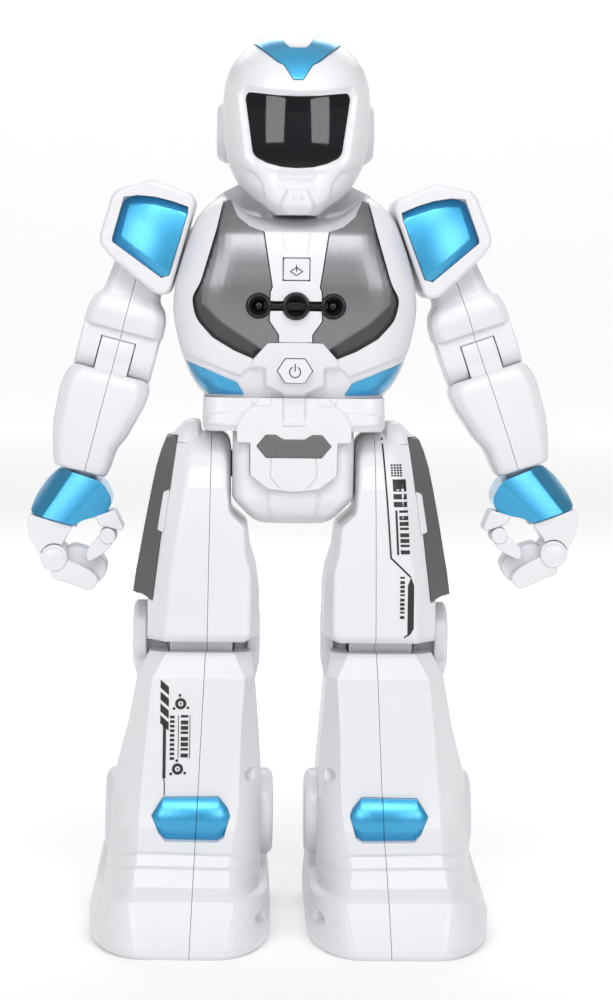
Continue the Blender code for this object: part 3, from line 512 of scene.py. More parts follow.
def metallic_lacquer(name, colour, other, roughness, flake=0.16, coat=0.35, metallic=0.75, border=None):
    """Lacquer with metal flakes under a clear coat, with painted shade: a darker colour where a mesh's
    border attribute says so.
    """
    made, tree, shader = new_material(name, colour, roughness, metallic, coat, 0.26)
    where = node(tree, "ShaderNodeTexCoord")
    flakes = node(tree, "ShaderNodeTexVoronoi", Scale=1000.0 / flake)
    tree.links.new(where.outputs["Object"], flakes.inputs["Vector"])
    parts = node(tree, "ShaderNodeSeparateColor")
    tree.links.new(flakes.outputs["Color"], parts.inputs["Color"])
    flaked = tint(tree, shader, colour, other, spread(tree, parts.outputs["Red"], 0.3, 0.7, 0.0, 1.0))
    # Painted shade: where the border attribute is high, the colour turns to the darker border colour.
    if border:
        share = node(tree, "ShaderNodeAttribute", attribute_name="border")
        tint(tree, shader, flaked, border, share.outputs["Fac"])
    bright = spread(tree, parts.outputs["Green"], roughness * 0.8, roughness * 1.25, 0.0, 1.0)
    tree.links.new(bright, shader.inputs["Roughness"])
    fine_surface(tree, shader, parts.outputs["Blue"], 0.0025, 0.5, 0.25)
    return made


def polished(name, colour, roughness, smudge=0.05, specular=0.3):
    """Glossy tinted plastic with a trace of handling."""
    made, tree, shader = new_material(name, colour, roughness, ior=1.55)
    shader.inputs["Specular IOR Level"].default_value = specular
    tint(tree, shader, colour, [c * 1.6 for c in colour], spread(tree, noise(tree, 12.0), 0.0, 1.0))
    tree.links.new(spread(tree, noise(tree, 9.0, 6.0), roughness, roughness + smudge, 0.45, 0.75),
                   shader.inputs["Roughness"])
    fine_surface(tree, shader, noise(tree, 4.0, 4.0), 0.0008)
    return made


WHITE = moulded_plastic("white_plastic", (0.745, 0.745, 0.77), (0.72, 0.72, 0.75), (0.28, 0.34))
INNER = moulded_plastic("inner_plastic", (0.40, 0.40, 0.42), (0.34, 0.34, 0.36), (0.42, 0.55))
BLUE = metallic_lacquer("blue_lacquer", (0.0, 0.28, 0.56), (0.07, 0.47, 0.78), 0.34, metallic=0.8, coat=1.0)
# The silver's border colour is painted shade, laid on the plates' sloping border where the metal would
# reflect darker surroundings.
SILVER = metallic_lacquer("silver_lacquer", (0.17, 0.17, 0.18), (0.30, 0.30, 0.315), 0.38, metallic=1.0,
                          coat=0.3, border=(0.085, 0.085, 0.09))
GREY = metallic_lacquer("grey_lacquer", (0.12, 0.125, 0.125), (0.21, 0.215, 0.215), 0.5, metallic=0.7,
                        coat=0.1)
VISOR = polished("visor_tint", (0.003, 0.003, 0.005), 0.05, 0.03, 0.5)
BLACK = polished("sensor_black", (0.012, 0.012, 0.014), 0.14)
LENS = polished("receiver_lens", (0.008, 0.006, 0.006), 0.1)
INK = moulded_plastic("printed_ink", (0.012, 0.012, 0.014), (0.02, 0.02, 0.022), (0.38, 0.5), 0.5, 0.0005)
BOARD = moulded_plastic("board_lacquer", (0.01, 0.11, 0.045), (0.014, 0.15, 0.06), (0.3, 0.45), 0.5, 0.003)
WRAP = moulded_plastic("battery_wrap", (0.02, 0.05, 0.22), (0.03, 0.07, 0.28), (0.3, 0.4), 1.2, 0.002)
TYRE = moulded_plastic("tyre", (0.02, 0.02, 0.02), (0.03, 0.03, 0.03), (0.7, 0.85), 0.4, 0.01)


# ---------------------------------------------------------------- head

HEAD = [
    (206.3, -6.0, 6.0, 24.0, -6.0, (4, 6), (4, 4)),
    (209.0, -9.4, 9.4, 26.5, -9.0, (6, 9), (6, 6)),
    (211.5, -13.0, 13.0, 26.9, -12.0, (9, 12), (9, 9)),
    (214.0, -15.4, 15.4, 27.0, -14.5, (11, 14), (10, 10)),
    (217.0, -17.4, 17.4, 26.7, -17.2, (13, 16), (12, 12)),
    (223.0, -20.0, 20.0, 26.2, -21.0, (15, 18), (15, 16)),
    (230.0, -21.0, 21.0, 25.8, -23.5, (15, 19), (17, 18)),
    (238.0, -21.3, 21.3, 25.4, -24.0, (15, 19), (17, 18)),
    (243.0, -20.9, 20.9, 24.4, -23.3, (15, 18), (17, 18)),
    (248.0, -19.6, 19.6, 22.0, -21.5, (15, 17), (16, 17)),
    (252.0, -17.0, 17.0, 18.5, -18.5, (14, 15), (14, 15)),
    (255.5, -13.4, 13.4, 13.5, -14.5, (11, 11), (11, 12)),
    (257.6, -8.6, 8.6, 7.6, -9.0, (7, 6), (7, 7)),
    (258.5, -4.6, 4.6, 3.4, -5.0, (4, 3), (4, 4)),
    (258.8, -1.5, 1.5, 1.0, -2.0, (1.2, 0.8), (1.2, 1.2)),
]
VISOR_OUTLINE = mirrored([(0, 239.8), (6.0, 240.0), (14.2, 241.0), (14.9, 239.4), (12.7, 223.9),
                          (11.7, 222.4), (8.4, 220.7), (4.4, 219.7), (0, 219.4)])
VISOR_RIM = mirrored([(0, 240.5), (6.0, 240.8), (15.0, 242.1), (16.4, 240.4), (14.1, 223.0),
                      (12.6, 220.9), (9.0, 219.1), (4.6, 218.0), (0, 217.7)])
CREST = mirrored([(0, 254.0), (2.4, 254.1), (3.6, 255.2), (5.2, 258.4), (5.6, 262.0), (6.4, 262.0),
                  (12.4, 255.6), (5.9, 249.8), (4.1, 248.9), (1.3, 244.5)])
CHEEK = [(-25, 221.4), (-17.9, 220.9), (-12.4, 218.3), (-10.0, 215.5), (-9.1, 210.9), (-8.8, 205),
         (-25, 205)]
MOUTH = mirrored([(0, 219.0), (5.2, 219.0), (5.2, 216.9), (4.6, 216.2)])
SNOUT = mirrored([(0, 213.5), (2.8, 213.5), (5.0, 208.4), (3.1, 205.9)])


def build_head():
    rings = body_rings(HEAD, 0.42, 0.45)
    raise_both(rings, CHEEK, -0.7, 0.7)
    raise_area(rings, VISOR_RIM, -1.5, 1.5)
    raise_area(rings, MOUTH, 0.6, 0.7)
    raise_area(rings, SNOUT, 1.6, 1.0)
    for x in (-1.25, 1.25):
        groove(rings, [(x, 210.0), (x, 211.2)], 0.45, 0.5)
    whole = skin("head_whole", rings, CENTRE)
    raised = skin("head_raised", body_rings(shrunk(raised_top(), -0.4), 0.6, 0.7), CENTRE)
    crest_room = prism("crest_room", grown(CREST, 0.15), -14.2, 40, CENTRE)
    cut(whole, prism("visor_room", rounded(VISOR_OUTLINE, 0.8), 4, FAR, CENTRE), crest_room)
    rear = split_rear(whole, "head_rear")
    whole.name = "helmet_front"
    done(whole, WHITE, "head", "head_front_shell")
    for side in (1, -1):
        pod = turned(f"pod_{side}", "x", (-10.6, 231.2), [
            (15, 9.2), (20.6, 9.2), (22.2, 8.2), (23.0, 7.2), (23.1, 6.2), (22.6, 5.9), (22.6, 0.5),
        ], limb(side), 64)
        add(rear, pod)
    rear.name = "helmet_rear"
    done(rear, WHITE, "head", "head_rear_shell")
    visor = relief("visor_glass", (-16, 16), (217, 243), 0.5,
                   lambda x, z: 24.6 - x ** 2 / 54 - (z - 229.0) ** 2 / 120, 12, CENTRE)
    keep(visor, prism("visor_edge", rounded(grown(VISOR_OUTLINE, -0.1), 0.8), 5, FAR, CENTRE))
    done(visor, VISOR, "head", "visor")
    keep(raised, prism("crest_edge", CREST, -14, 40, CENTRE))
    raised.name = "crest"
    done(raised, BLUE, "head", "crest_insert")


def raised_top():
    """The head's section table with a crown that stands higher."""
    return [(h + 0.7 * float(ease((h - 246) / 8)), *rest) for h, *rest in HEAD]


def grown(outline, by):
    """The outline with each corner pushed out, or in if negative."""
    area = sum(a[0] * b[1] - b[0] * a[1] for a, b in zip(outline, outline[1:] + outline[:1]))
    turn = 1 if area > 0 else -1
    pushed = []
    for i, (x, z) in enumerate(outline):
        here = Vector((x, z))
        one = (here - Vector(outline[i - 1])).normalized()
        two = (Vector(outline[(i + 1) % len(outline)]) - here).normalized()
        middle = (Vector((one.y, -one.x)) + Vector((two.y, -two.x))) * turn
        reach = by / max(0.35, middle.length_squared / 2)
        pushed.append((x + middle.x * reach, z + middle.y * reach))
    return pushed


# ---------------------------------------------------------------- torso

TORSO = [
    (154.2, -25.6, 25.6, 18.0, -18.0, (9, 8), (9, 8)),
    (158.0, -28.6, 28.6, 20.8, -20.0, (10, 9), (10, 9)),
    (163.0, -31.0, 31.0, 23.0, -21.5, (12, 10), (10, 9)),
    (170.0, -33.3, 33.3, 25.0, -22.5, (14, 11), (11, 10)),
    (180.0, -34.9, 34.9, 27.0, -23.5, (16, 13), (12, 11)),
    (186.0, -34.4, 34.4, 27.5, -24.0, (16, 13), (12, 11)),
    (192.0, -33.0, 33.0, 27.0, -24.0, (16, 13), (12, 11)),
    (200.0, -30.5, 30.5, 25.0, -23.5, (14, 12), (12, 11)),
    (205.0, -28.6, 28.6, 21.5, -21.5, (12, 10), (11, 10)),
    (209.0, -25.4, 25.4, 18.0, -19.5, (10, 9), (10, 9)),
    (211.4, -22.4, 22.4, 15.6, -18.0, (9, 8), (9, 8)),
]
COLLAR = [
    (203.5, -28.0, 28.0, -2.2, -21.6, (1, 1), (12, 12)),
    (208.0, -26.2, 26.2, -2.4, -20.9, (1, 1), (12, 12)),
    (212.0, -22.6, 22.6, -3.0, -20.8, (1, 1), (12, 12)),
    (216.2, -17.6, 17.6, -5.0, -20.6, (1, 1), (10, 10)),
]
PLATE = [(20.6, 211.3), (18.8, 210.6), (16.8, 205.9), (13.4, 203.0), (9.4, 201.5), (6.9, 185.8),
         (7.5, 184.4), (7.7, 176.3), (5.0, 172.4), (5.0, 170.3), (7.8, 170.0), (11.9, 165.4),
         (17.5, 167.8), (23.5, 171.4), (28.4, 176.8), (29.5, 182.8), (27.1, 186.6), (24.9, 194.2),
         (22.6, 202.2)]
PLATE_FACE = [(19.9, 214.0), (12.0, 214.0), (2.0, 201.5), (2.0, 160.0), (10.2, 168.7), (20.8, 175.7),
              (26.8, 181.3), (26.7, 185.6), (24.2, 193.8), (22.1, 201.0)]
CHEST_HOLE = mirrored([(0, 201.5), *reversed(PLATE[:5]), *reversed(PLATE[10:]), (0, 170.3)])
STERNUM = mirrored([(0, 201.5), (9.1, 201.5), (6.6, 185.8), (7.2, 184.4), (7.4, 176.3), (4.7, 172.4),
                    (4.7, 170.3)])
SIDE_INSERT = [(36.0, 164.8), (30.8, 164.5), (16.4, 158.4), (14.5, 155.0), (36.0, 155.0)]
BELLY_RECESS = [(38, 169.0), (31, 166.4), (15.4, 160.3), (13.6, 162.4), (8.5, 162.4), (8.5, 157.7),
                (3.3, 155.3), (3.3, 150), (38, 150)]
BELLY_BOSS = mirrored([(0, 170.3), (8.7, 170.3), (11.8, 165.4), (12.6, 163.0), (8.6, 162.6), (8.6, 157.7),
                       (3.3, 155.0), (0, 155.0)])
BATTERY_DOOR = [(-14.0, 160.0), (14.0, 160.0), (14.0, 187.0), (-14.0, 187.0)]
MODE_HEIGHT = 190.9
POWER_HEIGHT = 162.1
POWER = mirrored([(0, 3.4), (2.8, 3.4), (4.9, 0.0), (2.7, -3.4)])
SENSOR_HEIGHT = 180.5
SENSORS = ((-10.5, 3.35), (0.0, 3.7), (10.5, 3.35))


def dish():
    """The room for the head: a shallow dish that opens to the front."""
    across = np.linspace(-40, 40, 81)
    rings = []
    for forward in np.linspace(-45, 45, 46):
        low = min(205.6, 201.3 + 0.32 * (24.5 - forward)) + 0.054 * np.maximum(0, np.abs(across) - 9.4) ** 2
        low = low + 0.12 * max(0, -14 - forward) ** 2
        low = low + 0.08 * max(0, -6 - forward) ** 2 * np.clip((np.abs(across) - 8) / 8, 0, 1)
        line = [(x, forward, z) for x, z in zip(across, np.minimum(low, 238))]
        rings.append(line + [(40, forward, 240), (-40, forward, 240)])
    return skin("dish", rings, CENTRE)


def torso_rings(offset, spacing, step):
    return body_rings(shrunk(TORSO, -offset), spacing, step)


def build_torso():
    rings = torso_rings(0.0, 0.42, 0.45)
    raise_both(rings, BELLY_RECESS, -0.9, 0.6)
    raise_area(rings, BELLY_BOSS, 1.1, 1.0)
    whole = skin("torso_whole", rings, CENTRE)
    collar = skin("collar", body_rings(COLLAR, 1.0, 0.8, 1.0), CENTRE)
    add(whole, collar)
    neck = turned("neck", "up", (0, 0), [(190, 6.8), (240, 6.8)], CENTRE, 48)
    cut(whole, dish(), neck)
    rear = split_rear(whole, "back_shell")
    power_outline = [(x, z + POWER_HEIGHT) for x, z in POWER]
    holes = [prism("chest_room", grown(rounded(CHEST_HOLE, 2.6, 5, 24.0), 0.03), 14, FAR, CENTRE),
             prism("power_room", grown(power_outline, 0.22), 17.9, FAR, CENTRE)]
    holes += [prism(f"insert_room_{s}", grown(SIDE_INSERT, 0.04), 14, FAR, limb(s)) for s in (1, -1)]
    cut(whole, *holes)
    whole.name = "chest_frame"
    done(whole, WHITE, "body", "torso_front_shell")
    cut(rear, prism("door_seat", grown(BATTERY_DOOR, 0.12), -60, -17.4, CENTRE))
    done(rear, WHITE, "body", "torso_rear_shell")
    build_chest_plates()
    build_sternum(power_outline)
    build_side_inserts()


def sensor_room(name):
    bar = box(name, (-10.5, 10.5), (20, 60), (SENSOR_HEIGHT - 1.4, SENSOR_HEIGHT + 1.4), CENTRE)
    tubes = [turned(f"{name}_{i}", "forward", (x, SENSOR_HEIGHT), [(18, r + 0.25), (60, r + 0.25)], CENTRE)
             for i, (x, r) in enumerate(SENSORS)]
    return add(bar, *tubes)


def build_chest_plates():
    """Silver plates with a border that slopes down to the frame, darkened there by painted shade."""
    for side_name, side in SIDES:
        rings = torso_rings(0.9, 0.42, 0.45)
        outline = rounded(PLATE, 2.6, 5, 24.0)
        edge = inside_of(rings, outline)
        face = -inside_of(rings, PLATE_FACE)
        slope = np.clip(face / np.maximum(edge + face, 0.2), 0, 1) * (face > 0)
        rings[..., 1] -= 2.1 * slope * front_share(rings)
        plate = skin(f"plate_{side_name}", rings, limb(side))
        keep(plate, prism("plate_edge", outline, 16, FAR, limb(side)))
        cut(plate, sensor_room("plate_room"))
        done(plate, SILVER, "body", f"chest_plate_{side_name}", angle=12)
        # Painted shade: the border attribute darkens the silver on the sloping border outside the plate's
        # face.
        points = np.array([v.co for v in plate.data.vertices]) / MM
        points[:, 0] = side * (points[:, 0] - MIDDLE[0])
        share = ease(0.5 - inside_of(points, PLATE_FACE) / 0.6)
        plate.data.attributes.new("border", "FLOAT", "POINT").data.foreach_set("value", share)


def build_sternum(power_outline):
    rings = torso_rings(0.9, 0.42, 0.45)
    raise_area(rings, mirrored([(0, 202), (4.2, 202), (3.0, 195.5), (0, 195.5)]), -0.35, 0.5)
    column = skin("sternum", rings, CENTRE)
    keep(column, prism("sternum_edge", STERNUM, 16, FAR, CENTRE))
    mode_room = box("mode_room", (-3.9, 3.9), (10, 60), (MODE_HEIGHT - 3.3, MODE_HEIGHT + 3.3), CENTRE)
    cut(column, sensor_room("column_room"), mode_room)
    done(column, WHITE, "body", "sternum_panel")
    key = rounded([(-3.65, MODE_HEIGHT - 3.05), (3.65, MODE_HEIGHT - 3.05), (3.65, MODE_HEIGHT + 3.05),
                   (-3.65, MODE_HEIGHT + 3.05)], 0.5)
    mode = slab("mode_key_cap", key, 24, 28.7, CENTRE, 0.25)
    done(mode, WHITE, "mode_key", "mode_button")
    power = slab("power_key_cap", power_outline, 19, 25.2, CENTRE, 0.25)
    done(power, WHITE, "power_key", "power_button")
    symbol("mode_icon", mode_icon(), 28.62, 28.76, "mode_key")
    symbol("power_icon", power_icon(), 25.12, 25.26, "power_key")
    build_sensors()


def symbol(name, outlines, back, front, body):
    """A printed sign, as a thin layer of ink."""
    pieces = [prism(f"{name}_{i}", outline, back, front, CENTRE) for i, outline in enumerate(outlines)]
    first = pieces[0]
    if pieces[1:]:
        add(first, *pieces[1:])
    first.name = name
    done(first, INK, body)


def stroke(points, width):
    """A band of the given width along an open line, with square ends."""
    left, right = [], []
    for i, point in enumerate(points):
        here = Vector(point)
        before = (here - Vector(points[i - 1])).normalized() if i else None
        after = (Vector(points[i + 1]) - here).normalized() if i + 1 < len(points) else None
        along = ((before or after) + (after or before)).normalized()
        across = Vector((-along.y, along.x))
        reach = width / 2 / max(0.3, across.dot(Vector((-(after or before).y, (after or before).x))))
        left.append(tuple(here + across * reach))
        right.append(tuple(here - across * reach))
    return left + right[::-1]


def arc(centre, radius, start, end, steps=28):
    return [(centre[0] + radius * math.sin(math.radians(a)), centre[1] + radius * math.cos(math.radians(a)))
            for a in np.linspace(start, end, steps)]


def power_icon():
    ring = stroke(arc((0, POWER_HEIGHT - 0.3), 1.55, 28, 332), 0.3)
    bar = stroke([(0, POWER_HEIGHT + 2.0), (0, POWER_HEIGHT - 0.1)], 0.32)
    return [ring, bar]


def mode_icon():
    centre = MODE_HEIGHT - 0.6
    outer = [(0, centre + 1.15), (1.75, centre), (0, centre - 1.15), (-1.75, centre)]
    lines = [stroke([outer[i - 1], outer[i]], 0.28) for i in range(4)]
    return [*lines, stroke([(0, centre + 1.9), (0, centre - 0.05)], 0.3)]


def build_sensors():
    half = [(2.8, 1.2), (4.0, 0.9), (5.0, 0.55), (6.0, 0.6), (7.0, 0.95), (9, 1.0)]
    rings = []
    for x, h in [(-x, h) for x, h in reversed(half)] + half:
        line = ((24, -h), (27.6, -h), (27.9, -h * 0.6), (27.9, h * 0.6), (27.6, h), (24, h))
        rings.append([(x, forward, SENSOR_HEIGHT + z) for forward, z in line])
    bar = skin("bar", rings, CENTRE)
    for i, (x, r) in enumerate(SENSORS):
        tube = turned(f"tube_{i}", "forward", (x, SENSOR_HEIGHT), [
            (22, r), (28.9, r), (29.15, r - 0.12), (29.25, r - 0.4), (29.2, r - 0.75), (28.9, r - 0.95),
            (25.2, r - 1.15), (25.0, 0.3)], CENTRE, 56)
        add(bar, tube)
        lens = turned(f"receiver_{i}", "forward", (x, SENSOR_HEIGHT), [
            (24.5, 1.7), (26.2, 1.7), (26.9, 1.4), (27.3, 0.9), (27.45, 0.2)], CENTRE, 32)
        done(lens, LENS, "body")
    bar.name = "sensors"
    done(bar, BLACK, "body", "sensor_trio")


def build_side_inserts():
    """Blue corners of the chest with a facet that turns to the side."""
    for side_name, side in SIDES:
        rings = torso_rings(-0.35, 0.5, 0.6)
        outward = (rings[..., 0] - 20.5) * 0.62 + (rings[..., 2] - 154.5) * -0.34
        rings[..., 1] -= 0.3 * np.maximum(0, outward) * front_share(rings)
        corner = skin(f"corner_{side_name}", rings, limb(side))
        keep(corner, prism("corner_edge", SIDE_INSERT, -1.5, FAR, limb(side)))
        done(corner, BLUE, "body", f"side_insert_{side_name}")


def dress(cad, material, width):
    """Keeps a CAD node, with rounded edges and a better material."""
    weld = cad.modifiers.new("Weld", "WELD")
    weld.merge_threshold = 0.00002
    flat = cad.modifiers.new("Flat", "DECIMATE")
    flat.decimate_type = "DISSOLVE"
    flat.angle_limit = math.radians(1.0)
    bevel = cad.modifiers.new("Round", "BEVEL")
    bevel.width = width * MM
    bevel.segments = 3
    bevel.limit_method = "ANGLE"
    bevel.angle_limit = math.radians(30)
    cad.modifiers.new("Normals", "WEIGHTED_NORMAL")
    for slot in cad.material_slots:
        slot.material = material
    if not cad.material_slots:
        cad.data.materials.append(material)


# ---------------------------------------------------------------- waist

WAIST = [
    (144.6, -25.4, 25.4, 19.4, -18.4, (6, 5), (6, 5)),
    (146.0, -26.2, 26.2, 20.2, -19.2, (6, 5), (6, 5)),
    (154.14, -26.0, 26.0, 19.4, -18.6, (6, 5), (6, 5)),
]
TONGUE = mirrored([(0, 146.0), (16.4, 146.0), (16.4, 141.5), (12.5, 141.3), (12.4, 132.1), (7.2, 128.1),
                   (0, 127.3)])
BADGE = mirrored([(0, 142.3), (3.1, 142.3), (5.2, 143.6), (8.0, 143.6), (10.6, 140.5), (7.9, 137.2)])
FLARE = mirrored([(0, 158), (10.2, 158), (10.2, 153.6), (14.2, 149.9), (17.2, 144), (17.2, 138), (0, 138)])
FLAP = [(24.5, 149.4), (14.4, 150.4), (16.6, 146.0), (25.0, 146.6)]
TONGUE_LINES = [(6.4, 137.0), (6.7, 131.6), (3.9, 128.4)]
HIP_BLOCK = [
    (117.6, -9.5, 9.5, 10.5, -6.0, (2.5, 3), (2, 2)),
    (118.8, -11.5, 11.5, 13.5, -8.0, (3, 4), (2, 2)),
    (121.0, -13.8, 13.8, 16.0, -10.5, (3.5, 5), (2, 2)),
    (126.0, -17.5, 17.5, 17.8, -11.6, (4, 6), (2, 2)),
    (138.0, -17.5, 17.5, 18.2, -11.6, (4, 6), (2, 2)),
    (142.6, -17.5, 17.5, 17.4, -11.6, (4, 6), (2, 2)),
    (144.2, -17.5, 17.5, 14.0, -11.6, (4, 5), (2, 2)),
]


def build_waist():
    rings = body_rings(WAIST, 0.36, 0.42)
    raise_area(rings, FLARE, 0.9, 0.5)
    raise_both(rings, FLAP, 0.8, 0.6)
    raise_both(rings, [(6.4, 155), (12.3, 155), (11.8, 151.9), (6.8, 151.9)], 0.5, 0.4)
    raise_area(rings, mirrored([(0, 156), (3.1, 156), (3.1, 145.0), (0, 145.0)]), -1.1, 0.5)
    raise_area(rings, mirrored([(0, 148.4), (3.1, 148.4), (3.1, 146.0), (0, 146.0)]), 0.6, 0.4)
    shell = skin("waist", rings, CENTRE)
    tongue = slab("tongue", TONGUE, 12, 21.1, CENTRE, 0.4)
    tail = prism("tail", rounded(TONGUE, 0.6), -20, -12, CENTRE)
    add(shell, tongue, tail)
    lines = [prism(f"line_{s}", stroke([(s * x, z) for x, z in TONGUE_LINES], 0.35), 20.85, 40, CENTRE)
             for s in (1, -1)]
    cut(shell, prism("badge_seat", grown(BADGE, 0.12), 20.4, 40, CENTRE), *lines)
    done(shell, WHITE, "body", "waist_shell")
    badge = slab("badge", BADGE, 19.9, 21.35, CENTRE, 0.25)
    done(badge, GREY, "body", "waist_badge")
    rings = body_rings(HIP_BLOCK, 0.5, 0.6)
    raise_area(rings, mirrored([(0, 130), (6.6, 130), (7.2, 124), (5.6, 117), (0, 117)]), 0.9, 1.2)
    block = skin("pelvis", rings, CENTRE)
    cut(block, prism("tongue_room", grown(TONGUE, 0.14), 11.8, 40, CENTRE))
    pin = [(-22.6, HIP_PIN_RADIUS), (22.6, HIP_PIN_RADIUS)]
    pins = turned("hip_pins", "x", (0, HIP_HEIGHT), pin, CENTRE, 32)
    add(block, pins)
    done(block, WHITE, "body", "hip_block")


# ---------------------------------------------------------------- arms

UPPER_ARM = [
    (-28.4, -12.0, 11.3, 9.2, -9.2, (2.4, 2.0), (3, 3)),
    (-23.4, -11.8, 11.0, 11.0, -11.0, (2.6, 2.2), (3, 3)),
    (-20.0, -10.7, 10.0, 10.0, -10.0, (2.4, 2.0), (3, 3)),
    (-17.6, -8.5, 8.0, 8.5, -8.5, (2.0, 2.0), (3, 3)),
    (-8.0, -7.5, 7.0, 7.5, -7.5, (2.0, 2.0), (3, 3)),
]
FOREARM = [
    (-70.8, -6.6, 9.0, 8.2, -8.2, (2, 2), (3, 3)),
    (-67.1, -7.2, 10.2, 9.2, -9.2, (2.2, 2), (4, 4)),
    (-62.4, -7.5, 11.5, 10.0, -10.0, (2.6, 2.4), (4, 4)),
    (-57.6, -9.6, 12.4, 10.6, -10.8, (3.0, 2.6), (4, 4)),
    (-48.2, -12.0, 13.0, 10.8, -11.2, (3.2, 2.8), (4, 4)),
    (-43.5, -12.4, 12.5, 10.2, -10.5, (3.2, 2.8), (4, 4)),
    (-40.8, -11.0, 10.8, 8.8, -9.0, (3, 3), (4, 4)),
]
CAP_OUTLINE = [(10.7, 11.5), (12.3, 8.7), (12.7, -3.5), (12.0, -5.6), (8.6, -8.1), (1.1, -11.8),
               (-7.2, -15.4), (-10.0, -14.9), (-11.0, -12.9), (-11.4, 13.3), (-9.7, 15.2), (2.9, 16.2),
               (4.9, 14.4)]
CAP_INSERT = [(8.7, 9.0), (5.1, 10.5), (0.2, 11.3), (-4.9, 11.4), (-9.6, 11.0), (-9.9, 9.2), (-9.3, -9.0),
              (-7.5, -10.3), (8.6, -4.0), (8.9, -3.0)]
ARM_SEAM = -0.3


def halves(whole, name, cad_name, seam, place, body, side_name, angle=20.0):
    """Splits a limb at its seam into an outer and an inner half. Gives back the outer one.

    `seam` holds an x, how much that x grows with each unit of height, and the height that it is at.
    """
    x, lean, height = seam
    other = copy_of(whole, f"{name}_inner_{side_name}")
    slice_off(whole, (x + GAP / 2, 0, height), (-1, 0, lean), place)
    slice_off(other, (x - GAP / 2, 0, height), (1, 0, -lean), place)
    whole.name = f"{name}_outer_{side_name}"
    for piece, half in ((whole, "outer"), (other, "inner")):
        done(piece, WHITE, body, f"{cad_name}_{half}_{side_name}", angle=angle)
    return whole


def build_arm(side_name, side):
    place = arm_place(side_name, side)
    arm, fore = f"arm_{side_name}", f"forearm_{side_name}"
    elbow = (0, -ELBOW_DROP)
    cap = prism(f"pauldron_{side_name}", rounded(CAP_OUTLINE, 1.2), -16, 16.5, place)
    round_edges(cap, 1.5, 40, 4)
    cut(cap, prism("insert_seat", grown(CAP_INSERT, 0.15), 12.0, 40, place))
    pin = turned("pin", "x", (0, 0), [(-16.5, 6), (-8, 6)], place)
    add(cap, pin)
    done(cap, WHITE, arm, f"shoulder_cap_{side_name}")
    build_cap_insert(side_name, place, arm)

    ears = turned("ears", "x", elbow, [(-11.6, 7.2), (-11.0, 7.8), (10.5, 7.8), (11.1, 7.2)], place)
    top = round_edges(box("top", (-11.4, 11.0), (-7.6, 7.6), (-34.1, -27), place), 0.8)
    upper = round_edges(skin("upper", [from_row(row) for row in UPPER_ARM], place), 0.9, 12)
    add(upper, top, ears)
    room = turned("tongue_room", "x", elbow, [(-5.2, 8.3), (5.2, 8.3)], place)
    slot_room = box("tongue_slot", (-5.25, 5.25), (-20, 20), (-50, -34.5), place)
    cut(upper, room, slot_room)
    halves(upper, "upper", "upper_arm", (ARM_SEAM, 0, 0), place, arm, side_name)

    lower = round_edges(skin("lower", [from_row(row) for row in FOREARM], place), 1.1, 12)
    base = box("base", (-4.8, 4.8), (-7.2, 7.2), (-46, -34.1), place)
    tongue = turned("tongue", "x", elbow, [(-4.9, 7.6), (-4.7, 7.8), (4.7, 7.8), (4.9, 7.6)], place)
    add(lower, base, tongue)
    rooms = [turned(f"ear_room_{i}", "x", elbow, [(a, 8.3), (b, 8.3)], place)
             for i, (a, b) in enumerate(((-20, -4.95), (4.95, 20)))]
    cut(lower, *rooms)
    halves(lower, "lower", "forearm", (ARM_SEAM, 0, 0), place, fore, side_name)
    build_hand(side_name, place)


def build_cap_insert(side_name, place, body):
    """A bulging blue shield with a sloping border on its top, outer and lower sides."""
    face = [(6.9, 7.4), (3.6, 8.6), (-0.6, 9.3), (-5.3, 9.4), (-12.0, 8.9), (-12.0, -8.6), (-8.0, -8.3),
            (6.9, -2.2)]

    def front(x, z):
        bulge = 17.0 - 0.15 * x - 0.10 * z - 0.012 * (x + 1.0) ** 2 - 0.009 * (z - 1.0) ** 2
        points = np.stack((x, bulge, z), axis=-1)
        return np.maximum(bulge - 0.7 * np.clip(-inside_of(points, face), 0, 2.4), 11.6)

    shield = relief(f"shield_{side_name}", (-11, 10), (-12, 12.5), 0.4, front, 10.4, place)
    keep(shield, prism("shield_edge", rounded(CAP_INSERT, 0.7), 10, 30, place))
    done(shield, BLUE, body, f"shoulder_insert_{side_name}", angle=16)


# ---------------------------------------------------------------- hands

CUFF = [(7.1, -71.3), (10.0, -75.9), (11.9, -81.4), (12.3, -86.3), (-1.6, -86.3), (-3.3, -84.2),
        (-6.5, -82.6), (-9.3, -80.7), (-10.2, -78.3), (-9.6, -75.6), (-6.8, -72.6), (-5.0, -71.9),
        (0.0, -71.6)]
PALM = [(12.2, -86.6), (12.1, -88.5), (10.8, -91.7), (9.4, -93.7), (5.8, -97.4), (2.8, -98.0), (0.6, -93.2),
        (0.0, -89.7), (-1.2, -86.6)]
FINGER_NEAR = [(1.8, -101.0), (0.8, -102.9), (-4.5, -103.1), (-10.2, -103.7), (-11.6, -102.7),
               (-12.4, -100.2), (-11.5, -98.8), (-9.2, -97.7), (-5.7, -96.9), (-2.1, -96.4), (1.8, -96.7)]
FINGER_FAR = [(-1.3, -93.4), (-2.2, -92.6), (-6.3, -92.6), (-10.8, -93.4), (-12.6, -94.6), (-13.5, -95.9),
              (-13.7, -98.2), (-13.0, -100.4), (-11.4, -101.9), (-7.8, -102.8), (0.3, -102.6), (1.8, -99.4),
              (1.8, -96.7)]
THUMB_ROOT = [(-6.5, -82.4), (-8.5, -84.5), (-14.9, -84.4), (-15.4, -83.3), (-11.7, -79.0), (-10.7, -79.5)]
THUMB_TIP = [(-9.4, -86.2), (-9.1, -87.6), (-7.0, -91.6), (-6.9, -93.3), (-7.3, -94.7), (-8.4, -95.3),
             (-11.1, -92.8), (-13.1, -90.0), (-13.8, -86.6)]


def beyond(x, z, start, end):
    """Distance to the right of the line from start to end."""
    dx, dz = end[0] - start[0], end[1] - start[1]
    return ((x - start[0]) * dz - (z - start[1]) * dx) / math.hypot(dx, dz)


